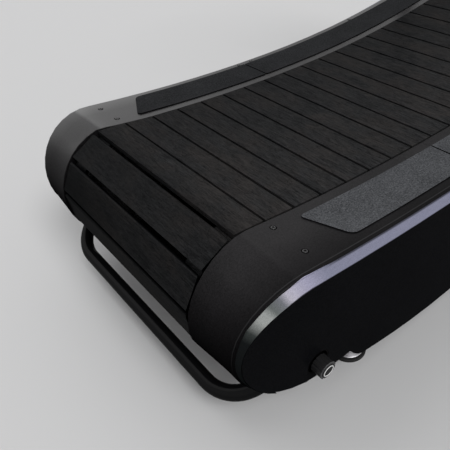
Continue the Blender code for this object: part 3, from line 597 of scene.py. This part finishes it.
def refined(node, name, bevel, segments=2, angle=50, smoothAngle=40, shaping=None):
    # a merged copy of a carried part, with its sharp edges rounded
    piece = bpy.data.objects.new(name, frame["nodes"][node].data.copy())
    scene.collection.objects.link(piece)
    activate(piece)
    bpy.ops.mesh.customdata_custom_splitnormals_clear()
    editAll(piece)
    bpy.ops.mesh.remove_doubles(threshold=mergeWithin)
    bpy.ops.mesh.dissolve_limited(angle_limit=radians(0.3))
    leaveEdit()
    if shaping:
        shaping(piece)
    rounding(piece, bevel, segments, angle)
    settle(piece, name, bodyOf[node], slotOf[node], angle=smoothAngle)
    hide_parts(node)
    return piece


def copied(piece, name, matrix):
    # another of the same piece, with its own mesh, moved by the matrix
    twin = bpy.data.objects.new(name, piece.data.copy())
    scene.collection.objects.link(twin)
    twin.data.transform(matrix)
    twin.data.name = name
    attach(twin, piece["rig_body"])
    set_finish(twin, piece["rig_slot"])
    return twin


def joined(pieces, name):
    deselectAll()
    for piece in pieces:
        piece.select_set(True)
    bpy.context.view_layer.objects.active = pieces[0]
    bpy.ops.object.join()
    pieces[0].name = pieces[0].data.name = name
    deselectAll()
    return pieces[0]


def turnedPiece(rings, place=(0, 0, 0), axis=(0, 0, 1), sides=48):
    # a round piece grown ring by ring along its axis; a ring is (radius, height)
    deselectAll()
    radius, height = rings[0]
    bpy.ops.mesh.primitive_circle_add(vertices=sides, radius=radius, fill_type="NGON")
    piece = bpy.context.object
    editAll(piece)
    bpy.ops.transform.translate(value=(0, 0, height))
    for nextRadius, nextHeight in rings[1:]:
        onward = {"value": (0, 0, nextHeight - height)}
        bpy.ops.mesh.extrude_region_move(TRANSFORM_OT_translate=onward)
        ratio = nextRadius / radius
        bpy.ops.transform.resize(value=(ratio, ratio, 1), center_override=(0, 0, nextHeight))
        radius, height = nextRadius, nextHeight
    leaveEdit()
    tidyMesh(piece)
    piece.rotation_mode = "QUATERNION"
    piece.rotation_quaternion = Vector(axis).to_track_quat("Z", "Y")
    piece.location = place
    return piece


def block(low, high):
    deselectAll()
    size = [b - a for a, b in zip(low, high)]
    bpy.ops.mesh.primitive_cube_add(size=1, location=[(a + b) / 2 for a, b in zip(low, high)])
    piece = bpy.context.object
    piece.scale = size
    bpy.ops.object.transform_apply()
    return piece


def sweptTube(corners, radius, sides=32, steps=14):
    # a tube through corners, each (point, bend radius): its end is extruded on and spun round
    points = [Vector(point) for point, bend in corners]
    ahead = (points[1] - points[0]).normalized()
    deselectAll()
    bpy.ops.mesh.primitive_circle_add(vertices=sides, radius=radius, fill_type="NGON")
    piece = bpy.context.object
    piece.rotation_mode = "QUATERNION"
    piece.rotation_quaternion = ahead.to_track_quat("Z", "Y")
    piece.location = points[0]
    bpy.ops.object.transform_apply()
    editAll(piece)
    here = points[0].copy()
    for k in range(1, len(points)):
        corner, bend = points[k], corners[k][1]
        if k == len(points) - 1:
            stop = corner
        else:
            after = (points[k + 1] - corner).normalized()
            angle = ahead.angle(after)
            reach = bend * sin(angle / 2) / cos(angle / 2)
            stop = corner - ahead * reach
        bpy.ops.mesh.extrude_region_move(TRANSFORM_OT_translate={"value": stop - here})
        if k == len(points) - 1:
            break
        axis = ahead.cross(after).normalized()
        centre = stop + axis.cross(ahead) * bend
        # spin turns clockwise
        bpy.ops.mesh.spin(steps=steps, angle=angle, center=centre, axis=-axis)
        here = corner + after * reach
        ahead = after
    leaveEdit()
    tidyMesh(piece)
    return piece


def boxMiddle(node):
    low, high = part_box(node)
    return (low + high) / 2


def landing(piece, place, towards=(0, 0, -1)):
    # where a straight line meets a finished piece, and the way its surface faces there
    mesh = piece.data
    tree = BVHTree.FromPolygons([v.co for v in mesh.vertices],
                                [p.vertices for p in mesh.polygons])
    spot, facing = tree.ray_cast(Vector(place), Vector(towards))[:2]
    if spot is None:
        raise RuntimeError("nothing of %s at %s" % (piece.name, tuple(place)))
    return spot, facing


# Carried parts first take their finishes

for node, item in frame["nodes"].items():
    item.data.materials.clear()
    item.data.materials.append(look["dark_steel" if node.endswith("_axle") else slotOf[node]])

# Running belt and the bodywork round it

bodywork = {
    "slatEdge": 0.0009, "slatCorner": 0.0055, "coverEdge": 0.0009, "stripEdge": 0.0004,
    "panelEdge": 0.0012, "padEdge": 0.0005,
    # how far round each bend the covers stand clear, how fast that comes, how wide and how high
    "clearFrom": 0.7065, "clearRun": 0.060, "clearBy": 0.0036, "clearRise": 1.058,
    "clearDown": 0.006, "clearBelow": 0.026, "clearWithin": 0.0045, "clearSteps": 4,
    "tuck": 0.0013, "tuckWithin": 0.0095, "padCorner": (-0.55, 0.262),
    "padShift": (-0.0070, 0, 0.0012),
}
sides = (("left", 1), ("right", -1))


def roundSlatCorners(piece):
    # each slat's two leading corners are rounded where they meet the covers
    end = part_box("running_belt")[1].y
    rear, front = (boxMiddle(axle).xz for axle in ("rear_axle", "front_axle"))
    line = front - rear

    def leading(edge):
        a, b = (v.co for v in edge.verts)
        if min(abs(a.y), abs(b.y)) < end - 0.0001 or abs(a.y - b.y) > 0.0001:
            return False
        if not 0.005 < (a - b).length < 0.012:
            return False
        middle = (a + b) / 2
        here = middle.xz - rear
        away = here - line * min(max(here.dot(line) / line.length_squared, 0), 1)
        caps = [face for face in edge.link_faces if abs(face.normal.y) > 0.9]
        outward = Vector((away.x, 0, away.y)).normalized()
        if not caps or abs((b - a).normalized().dot(outward)) < 0.7:
            return False
        heart = caps[0].calc_center_median()
        return (middle - heart).dot(Vector((away.y, 0, -away.x))) > 0
    pick(piece, "EDGE", leading)
    bpy.ops.mesh.bevel(offset=bodywork["slatCorner"], segments=4, affect="EDGES")
    leaveEdit()


def clearSlatEnds(piece):
    # round the bends a cover's inner edge stands wider and higher, coming out over a short run
    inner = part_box("cover_rear_left")[0].y
    first = piece.data.vertices[0].co
    out, end = (1 if first.y > 0 else -1), ("front" if first.x > 0 else "rear")
    middle = boxMiddle(end + "_axle")
    steps, lowest = bodywork["clearSteps"], middle.z - bodywork["clearBelow"]
    rise = bodywork["clearRise"] ** (1 / steps)
    for k in range(steps):
        start = bodywork["clearFrom"] + bodywork["clearRun"] * k / steps
        reach = inner + bodywork["clearWithin"] + bodywork["clearBy"] * k / steps

        def roundBend(point):
            x, y, z = point.co
            return abs(x) > start and z > lowest and abs(y) < reach
        pick(piece, "VERT", roundBend)
        bpy.ops.transform.translate(value=(0, out * bodywork["clearBy"] / steps, 0))
        bpy.ops.transform.resize(value=(1, 1, rise), center_override=(
            middle.x, 0, middle.z - bodywork["clearDown"]))
        leaveEdit()
    editAll(piece)
    bpy.ops.mesh.quads_convert_to_tris(quad_method="BEAUTY", ngon_method="BEAUTY")
    leaveEdit()


def meetCover(piece):
    # the strip's upper edge tucks under the cover's rolled edge
    out = 1 if piece.data.vertices[0].co.y > 0 else -1

    def upper(point):
        over = max(abs(point.co.x) - ends["drawIn"], 0)
        outwards = abs(point.co.y) + ends["drawBy"] * over * over - ends["crest"]
        return outwards < bodywork["tuckWithin"]
    pick(piece, "VERT", upper)
    bpy.ops.transform.translate(value=(0, -out * bodywork["tuck"], 0))
    leaveEdit()


def squareEnd(piece):
    # this pad's rear end is cut a little squarer
    x, y = bodywork["padCorner"]
    pick(piece, "VERT", lambda point: point.co.x < x and abs(point.co.y) < y)
    bpy.ops.transform.translate(value=bodywork["padShift"])
    leaveEdit()


shells = {}
refined("running_belt", "slat_belt", bodywork["slatEdge"], shaping=roundSlatCorners)
for side, way in sides:
    for end in ("rear", "front"):
        place = end + "_" + side
        shells[end, side] = refined("cover_" + place, "shell_" + place, bodywork["coverEdge"],
                                    2, 50, 50, shaping=clearSlatEnds)
        refined("grip_pad_" + place, "tread_pad_" + place, bodywork["padEdge"],
                shaping=squareEnd if place == "rear_left" else None)
    refined("trim_" + side, "silver_strip_" + side, bodywork["stripEdge"], 1, 60, 50,
            shaping=meetCover)
    refined("side_panel_" + side, "side_skirt_" + side, bodywork["panelEdge"], 2, 50, 50)

shadeSheetShape = {
    "x": (-0.690, -0.3475), "y": 0.155, "z": 0.2190, "thick": 0.0030, "lip": 0.012,
    "edge": 0.0008, "boltIn": 0.010,
    "bolt": ((0.0070, 0), (0.0070, 0.0010), (0.0050, 0.0012), (0.0048, 0.0034), (0.0040, 0.0042)),
}


def addShadeSheet():
    # painted shade: a deep black folded sheet inside the belt, hung under the rear cross tube, that
    # keeps the gaps between the slats dark
    shape = shadeSheetShape
    (back, front), reach, top, thick, lip = (shape[k] for k in ("x", "y", "z", "thick", "lip"))
    parts = [block((back, -reach, top), (front, reach, top + thick))]
    for way in (-1, 1):
        low, high = sorted((way * reach, way * (reach - thick)))
        parts.append(block((back, low, top - lip), (front, high, top + thick * 0.5)))
    parts.append(block((back, -reach, top - lip), (back + thick, reach, top + thick * 0.5)))
    shadeSheet = joined(parts, "belt_shade_sheet")
    rounding(shadeSheet, shape["edge"], 2)
    settle(shadeSheet, "belt_shade_sheet", "frame", "black_panel", look["deep_black"])
    for side, way in sides:
        place = (front - shape["boltIn"], way * reach * 0.7, top)
        settle(turnedPiece(shape["bolt"], place, (0, 0, -1), 6), "guard_bolt_" + side, "frame",
               "steel", look["dark_steel"])


addShadeSheet()
print("belt and bodywork shaped")

# Cover screws: countersunk heads standing on the covers

coverScrews = {
    "ring": 0.0060, "head": 0.0044, "proud": 0.0010, "recess": 0.0020,
    # x and y of each screw
    "rear": ((-0.6945, -0.2370), (-0.6956, -0.3062), (-0.2845, -0.3290),
             (-0.6958, 0.2447), (-0.6998, 0.3103), (-0.2845, 0.3290)),
    "front": ((-0.2437, -0.3285), (0.1500, -0.3300), (0.6200, -0.2396), (0.6200, -0.3062),
              (-0.2437, 0.3285), (0.1500, 0.3300), (0.6200, 0.2396), (0.6200, 0.3062)),
}


def coverScrew():
    head, proud, recess = coverScrews["head"], coverScrews["proud"], coverScrews["recess"]
    return turnedPiece([
        (head * 0.96, -0.0004), (head, 0.0003), (head * 0.93, proud * 0.75), (head * 0.80, proud),
        (recess * 1.15, proud), (recess, proud * 0.9), (recess * 0.8, -0.0003)], sides=24)


def sinkShadeRing():
    # a flat dark ring round a head for the countersink, with painted shade standing in for its
    # hollow
    ring, head = coverScrews["ring"], coverScrews["head"]
    return turnedPiece([(ring, -0.0003), (ring, 0.0001), (ring - 0.0003, 0.00018),
                        (head * 0.9, 0.00012)], sides=24)


def addCoverScrews():
    master = settle(coverScrew(), "cover_screw", "frame", "steel", look["black_screw"])
    sinkShade = settle(sinkShadeRing(), "cover_sink", "frame", "steel", look["deep_black"])
    count = 0
    for end in ("rear", "front"):
        heads, rings = [], []
        for x, y in coverScrews[end]:
            spot, facing = landing(shells[end, "left" if y > 0 else "right"], (x, y, 0.9))
            turn = facing.to_track_quat("Z", "Y").to_matrix().to_4x4()
            place = Matrix.Translation(spot) @ turn
            heads.append(copied(master, "cover_screw_%s_%d" % (end, len(heads)), place))
            rings.append(copied(sinkShade, "cover_sink_%s_%d" % (end, len(rings)), place))
        count += len(heads)
        joined(heads, "cover_screws_" + end)
        joined(rings, "cover_sinks_" + end)
    bpy.data.objects.remove(master)
    bpy.data.objects.remove(sinkShade)
    return count


print("cover screws:", addCoverScrews())

# Rear lifting handle

handleShape = {"radius": 0.0148, "rise": 0.555, "bend": 0.088}


def addHandle():
    low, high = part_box("rear_handle")
    radius, rise, bend = (handleShape[k] for k in ("radius", "rise", "bend"))
    x, y, z = low.x + radius, high.y - radius, low.z + radius
    endX = high.x - radius * rise / sqrt(1 + rise * rise)
    endZ = z + rise * (endX - x)
    tube = sweptTube([((endX, y, endZ), 0), ((x, y, z), bend), ((x, -y, z), bend),
                      ((endX, -y, endZ), 0)], radius)
    settle(tube, "lifting_handle", "frame", "black_paint", angle=50)
    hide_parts("rear_handle")


addHandle()
print("handle bent")

# Levelling feet: rubber sole, steel dish, hexagon and threaded stem

footShape = {
    "sole": 0.0382, "top": 0.0088, "dish": 0.0330,
    "neck": ((0.018, 0.0136), (0.0125, 0.0165), (0.0100, 0.0175)),
    "nut": 0.019, "nutEdge": 0.0006, "nutZ": (0.0172, 0.0300), "lockZ": (0.05435, 0.06265),
    "stem": 0.0060, "threadTop": 0.058, "threadDeep": 0.0005, "turns": 20,
}


def hexagon(x, y, low, high):
    deselectAll()
    bpy.ops.mesh.primitive_cylinder_add(
        vertices=6, radius=footShape["nut"] / 2 / cos(pi / 6), depth=high - low,
        location=(x, y, (low + high) / 2))
    nut = bpy.context.object
    rounding(nut, footShape["nutEdge"], 2)
    return nut


def addFoot(end, side):
    shape, name = footShape, "%s_%s" % (end, side)
    x, y = boxMiddle("levelling_foot_" + name).xy
    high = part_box("levelling_foot_" + name)[1].z
    sole, dish, top, stem = (shape[k] for k in ("sole", "dish", "top", "stem"))
    rubber = turnedPiece([(sole - 0.0012, 0), (sole, 0.0012), (sole, top - 0.0012),
                          (sole - 0.0010, top), (dish - 0.002, top)], (x, y, 0))
    plate = turnedPiece([(dish, top), (dish, top + 0.0015), (dish - 0.0015, top + 0.0024),
                         *shape["neck"]], (x, y, 0))
    nut = hexagon(x, y, *shape["nutZ"])
    lock = hexagon(x, y, *shape["lockZ"])
    start = shape["nutZ"][1]
    pitch = (shape["threadTop"] - start) / shape["turns"]
    thread = [(stem, start)]
    for k in range(shape["turns"]):
        z = start + 0.001 + pitch * k
        thread += [(stem - shape["threadDeep"], z), (stem, z + 0.0007)]
    rod = turnedPiece(thread + [(stem, high)], (x, y, 0), sides=24)
    settle(rubber, "foot_sole_" + name, "frame", "rubber")
    for kind, piece in (("dish", plate), ("nut", nut), ("locknut", lock), ("stem", rod)):
        settle(piece, "foot_%s_%s" % (kind, name), "frame", "steel")
    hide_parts("levelling_foot_" + name)


for side, way in sides:
    addFoot("rear", side)
    addFoot("front", side)
print("feet turned")

# Resistance knob: fluted cap with a pale ring on its face

knobShape = {"ring": 0.0106, "ringWide": 0.0024, "ringFlat": 0.9, "ringOut": 0.0004,
             "edge": 0.0005, "seatEdge": 0.0006}


def addKnob():
    shape = knobShape
    refined("resistance_knob", "knob_cap", shape["edge"], 2, 30, 35)
    place = boxMiddle("resistance_knob")
    place.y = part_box("resistance_knob")[0].y + shape["ringOut"]
    deselectAll()
    bpy.ops.mesh.primitive_torus_add(
        major_radius=shape["ring"], minor_radius=shape["ringWide"] / 2, major_segments=48,
        minor_segments=10, location=place, rotation=(pi / 2, 0, 0))
    ring = bpy.context.object
    ring.scale = (1, 1, shape["ringFlat"])
    settle(ring, "knob_ring", "knob", "button_plastic", look["pale_ring"], 60)
    seat = refined("knob_seat", "knob_seat_ring", shape["seatEdge"], 2, 40)
    seat.data.materials[0] = look["seat_plastic"]


addKnob()
print("knob fitted")

# Hand rails: uprights, clamp plates, foam grips and the bar between them

railShape = {
    "radius": 0.0240, "foot": 0.470, "footLow": 0.110, "kneeZ": 0.330, "kneeBend": 0.30,
    "topX": 0.600, "topZ": 1.150, "topBend": 0.13, "endX": 0.040, "endDrop": 0.030,
    "plate": (0.045, 0.006), "plateZ": (0.120, 0.310), "plateEdge": 0.0018,
    "plug": ((0.0215, -0.0001), (0.0215, -0.0030), (0.0195, -0.0045)), "plugUp": 0.0046,
    "boltZ": (0.175, 0.255), "boltDeep": 0.0052,
    "bolt": ((0.0105, 0), (0.0105, 0.0014), (0.0080, 0.0016), (0.0076, 0.0032),
             (0.0062, 0.0046), (0.0034, 0.0050), (0.0031, 0.0022)),
    "grip": 0.0300, "gripLong": 0.300, "gripRibs": 14, "ribDeep": 0.0011,
    "gripEnd": ((0.020, -0.0058), (0.0262, -0.0055), (0.0288, -0.0042)),
    # half a cross bar: radius, and distance from its end
    "bar": ((0.0232, 0), (0.0232, 0.0045), (0.0216, 0.006), (0.0190, 0.0068)),
}


def railMiddle(side, way):
    low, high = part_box("upright_" + side)
    return high.y - railShape["radius"] if way > 0 else low.y + railShape["radius"]


def addUpright(side, way):
    shape, y = railShape, railMiddle(side, way)
    foot, radius = shape["foot"], shape["radius"]
    tube = sweptTube([
        ((foot, y, shape["footLow"]), 0), ((foot, y, shape["kneeZ"]), shape["kneeBend"]),
        ((shape["topX"], y, shape["topZ"]), shape["topBend"]),
        ((shape["endX"], y, shape["topZ"] - shape["endDrop"]), 0)], radius, 40, 16)
    settle(tube, "upright_tube_" + side, "frame", "black_paint", angle=50)
    wide, thick = shape["plate"]
    inner = y - way * radius
    low, high = sorted((inner, inner + way * thick))
    bottom, top = shape["plateZ"]
    plate = block((foot - wide, low, bottom), (foot + wide, high, top))
    rounding(plate, shape["plateEdge"], 3)
    settle(plate, "clamp_plate_" + side, "frame", "black_paint")
    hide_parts("upright_" + side)
    plug = turnedPiece(shape["plug"], (foot, y, shape["footLow"] + shape["plugUp"]))
    settle(plug, "upright_plug_" + side, "frame", "black_shell")
    for k, z in enumerate(shape["boltZ"]):
        place = (foot, y + way * (radius - shape["boltDeep"]), z)
        bolt = turnedPiece(shape["bolt"], place, (0, way, 0), 32)
        settle(bolt, "upright_bolt_%s_%d" % (side, k), "frame", "steel")


def addGrip(side, way):
    shape, y = railShape, railMiddle(side, way)
    start = Vector((shape["endX"], y, shape["topZ"] - shape["endDrop"]))
    ahead = (Vector((shape["topX"], y, shape["topZ"])) - start).normalized()
    out, long, ribs = shape["grip"], shape["gripLong"], shape["gripRibs"]
    dip = out - shape["ribDeep"]
    rings = [*shape["gripEnd"], (out, -0.0012), (out, 0.010)]
    for k in range(ribs):
        at = 0.018 + (long - 0.045) * k / (ribs - 1)
        rings += [(out, at), (dip, at + 0.0012), (dip, at + 0.0030), (out, at + 0.0042)]
    rings += [(out, long - 0.004), (out - 0.0012, long - 0.0012), (out - 0.0035, long)]
    grip = turnedPiece(rings, start, ahead)
    settle(grip, "foam_grip_" + side, "frame", "rubber", angle=50)
    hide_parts("hand_grip_" + side)


def addCrossBar():
    place, reach = boxMiddle("cross_bar"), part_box("cross_bar")[1].y
    place.y = 0
    rings = [(radius, inward - reach) for radius, inward in railShape["bar"]]
    rings += [(radius, reach - inward) for radius, inward in reversed(railShape["bar"])]
    bar = turnedPiece(rings, place, (0, 1, 0), 40)
    settle(bar, "console_bar", "frame", "black_paint", angle=50)
    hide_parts("cross_bar")


for side, way in sides:
    addUpright(side, way)
    addGrip(side, way)
addCrossBar()
print("hand rails bent")

# Transport wheels: ribbed tyre, hub and axle bolt

wheelShape = {
    "tyre": 0.0350, "half": 0.0128, "grooves": (-0.0048, 0.0, 0.0048), "boltOut": 0.0190,
    # half a hub: radius, and distance past the tyre's face
    "hub": ((0.0200, -0.0016), (0.0110, -0.0022), (0.0105, 0.0002), (0.0070, 0.0002),
            (0.0056, 0.0004), (0.0054, 0.0060)),
    "bolt": ((0.0092, 0), (0.0092, 0.0012), (0.0070, 0.0014), (0.0066, 0.0034), (0.0052, 0.0046)),
}


def addWheel(side, way):
    middle, body = boxMiddle("transport_wheel_" + side), "wheel_" + side
    out, half = wheelShape["tyre"], wheelShape["half"]
    face = [(0.0200, half - 0.0012), (0.0215, half), (out - 0.0040, half),
            (out - 0.0012, half - 0.0012), (out, half - 0.0036)]
    rings = [(radius, -at) for radius, at in face]
    for at in wheelShape["grooves"]:
        rings += [(out, at - 0.0009), (out - 0.0010, at - 0.0004), (out - 0.0010, at + 0.0004),
                  (out, at + 0.0009)]
    tyre = turnedPiece(rings + face[::-1], middle, (0, 1, 0))
    settle(tyre, "wheel_tyre_" + side, body, "rubber", angle=40)
    rings = [(radius, -half - past) for radius, past in wheelShape["hub"]]
    rings += [(radius, half + past) for radius, past in reversed(wheelShape["hub"])]
    hub = turnedPiece(rings, middle, (0, 1, 0), 40)
    settle(hub, "wheel_hub_" + side, body, "roller_plastic")
    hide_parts("transport_wheel_" + side)
    for cheek in (-1, 1):
        place = (middle.x, middle.y + cheek * wheelShape["boltOut"], middle.z)
        bolt = turnedPiece(wheelShape["bolt"], place, (0, cheek, 0), 6 if cheek > 0 else 28)
        end = "in" if cheek * way < 0 else "out"
        settle(bolt, "wheel_bolt_%s_%s" % (side, end), "frame", "steel")


for side, way in sides:
    addWheel(side, way)
print("wheels fitted")

# Console: housing, screen with figures, marked buttons, screws behind

consoleShape = {
    # words, place across and up the screen, and size
    "figures": (("0:00", 0.052, 0.024, 0.020), ("0.0", -0.058, 0.024, 0.020),
                ("000", 0.075, -0.008, 0.012), ("00", 0.0, -0.008, 0.012),
                ("0", -0.075, -0.008, 0.012)),
    # each button's mark: its corners and its turn
    "marks": {"start": (3, -pi / 2), "mode": (28, 0), "stop": (4, pi / 4)},
    "mark": 0.0046, "markDeep": 0.0003, "ringWide": 0.0012,
    "screw": ((0.0046, 0.0), (0.0046, 0.0006), (0.0038, 0.0016), (0.0024, 0.0019),
              (0.0020, 0.0008)),
    "screwY": 0.118, "screwDown": (0.105, 0.040),
    "housingEdge": 0.0012, "edge": 0.0004, "lift": 0.0001,
}


def facingPlace(node, y, z):
    # a place on a case's runner's side, with X to the runner's right and Z out of its face
    spot, facing = landing(cases[node], (0.2, y, z), (1, 0, 0))
    across = Vector((0, -1, 0))
    turn = Matrix((across, facing.cross(across), facing)).transposed().to_4x4()
    return Matrix.Translation(spot + facing * consoleShape["lift"]) @ turn


def moved(piece, place):
    activate(piece)
    bpy.ops.object.transform_apply()
    piece.data.transform(place)


def addFigures():
    middle = boxMiddle("console_display")
    for k, (words, across, up, size) in enumerate(consoleShape["figures"]):
        deselectAll()
        bpy.ops.object.text_add()
        figure = bpy.context.object
        figure.data.body = words
        figure.data.size, figure.data.extrude = size, 0.0001
        figure.data.align_x, figure.data.align_y = "CENTER", "CENTER"
        bpy.ops.object.convert(target="MESH")
        moved(figure, facingPlace("console_display", across, middle.z + up))
        settle(figure, "screen_figure_%d" % k, "frame", "button_plastic", look["digits"])


def addButtonMarks():
    for name, (corners, turn) in consoleShape["marks"].items():
        middle = boxMiddle(name + "_button")
        deselectAll()
        bpy.ops.mesh.primitive_cylinder_add(
            vertices=corners, radius=consoleShape["mark"], depth=consoleShape["markDeep"],
            rotation=(0, 0, turn))
        mark = bpy.context.object
        if name == "mode":
            pick(mark, "FACE", lambda face: abs(face.normal.z) > 0.9)
            bpy.ops.mesh.inset(thickness=consoleShape["ringWide"], depth=-0.0001)
            leaveEdit()
        moved(mark, facingPlace(name + "_button", middle.y, middle.z))
        settle(mark, name + "_mark", "button_" + name, "button_plastic", look["deep_black"])


def addConsoleScrews():
    top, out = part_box("console_housing")[1].z, consoleShape["screwY"]
    places = [(1.2, y, top - down) for y in (-out, out) for down in consoleShape["screwDown"]]
    for k, place in enumerate(places):
        spot, facing = landing(cases["console_housing"], place, (-1, 0, 0))
        screw = turnedPiece(consoleShape["screw"], spot, facing, 20)
        settle(screw, "console_screw_%d" % k, "frame", "steel", look["black_screw"])
    return len(places)


cases = {}
for node in ("console_housing", "console_display", "start_button", "mode_button", "stop_button"):
    edge = consoleShape["housingEdge" if node == "console_housing" else "edge"]
    cases[node] = refined(node, node + "_case", edge, 3, 40, 40)
addFigures()
addButtonMarks()
print("console screws:", addConsoleScrews())

# Base frame

frameEdges = {"rail": 0.0008, "plate": 0.0005, "tube": 0.0020}

for side, way in sides:
    refined("base_rail_" + side, "floor_rail_" + side, frameEdges["rail"])
    refined("side_plate_" + side, "inner_plate_" + side, frameEdges["plate"], 1)
for place in ("rear", "middle", "front"):
    refined("cross_tube_" + place, "cross_tube_%s_bar" % place, frameEdges["tube"], 3)
print("console and frame shaped")

# Camera, floor and light

view = {"place": (-1.11070, -0.67206, 0.88671), "turn": (49.7138, 2.8362, -39.0461),
        "lens": 40.81, "near": 0.02}
light = {"around": 0.45, "backdrop": 0.92, "key": 1.15, "keyFrom": (-0.05, -0.60, 0.80),
         "keySpread": 24, "fill": 0.75, "fillFrom": (-0.10, 0.75, 0.65), "fillSpread": 70,
         "floor": (0.70, 0.70, 0.705), "floorLit": (0.16, 0.16, 0.16)}


def addCamera():
    bpy.ops.object.camera_add(location=view["place"], rotation=[radians(a) for a in view["turn"]])
    camera = bpy.context.object
    camera.data.lens, camera.data.sensor_width = view["lens"], 36
    camera.data.clip_start = view["near"]
    scene.camera = camera


def seenDirectly(nodes):
    # 1 where the camera, a mirror or glass looks at it, 0 where it only lights other things
    path = nodes.add("LightPath").socket.node
    camera, glossy, glass = (Wire(nodes, path.outputs["Is %s Ray" % kind])
                             for kind in ("Camera", "Glossy", "Transmission"))
    return nodes.most(nodes.most(camera, glossy), glass)


def addFloor():
    bpy.ops.mesh.primitive_plane_add(size=80)
    floor = bpy.context.object
    floor.name = "studio_floor"
    paint = Paint("floorPaint", light["floor"], 0.9, gloss=0.0)
    paint.set("Base Color", paint.blend(seenDirectly(paint), light["floorLit"], light["floor"]))
    floor.data.materials.append(paint.material)


def addSun(name, towards, strength, spread):
    bpy.ops.object.light_add(type="SUN", location=Vector(towards) * 4)
    lamp = bpy.context.object
    lamp.name = name
    lamp.data.energy, lamp.data.angle = strength, radians(spread)
    lamp.rotation_euler = Vector(towards).to_track_quat("Z", "Y").to_euler()


def addWorld():
    world = bpy.data.worlds.new("studio")
    scene.world = world
    world.use_nodes = True
    nodes = Nodes(world.node_tree)
    background = nodes.tree.nodes["Background"].inputs
    strength = nodes.spread(seenDirectly(nodes), light["around"], light["backdrop"])
    nodes.feed(background["Strength"], strength)
    nodes.feed(background["Color"], (1, 1, 1, 1))


addCamera()
addFloor()
addSun("key_light", light["keyFrom"], light["key"], light["keySpread"])
addSun("fill_light", light["fillFrom"], light["fill"], light["fillSpread"])
addWorld()
scene.view_settings.view_transform = "Standard"
print("camera, floor and lamps placed")
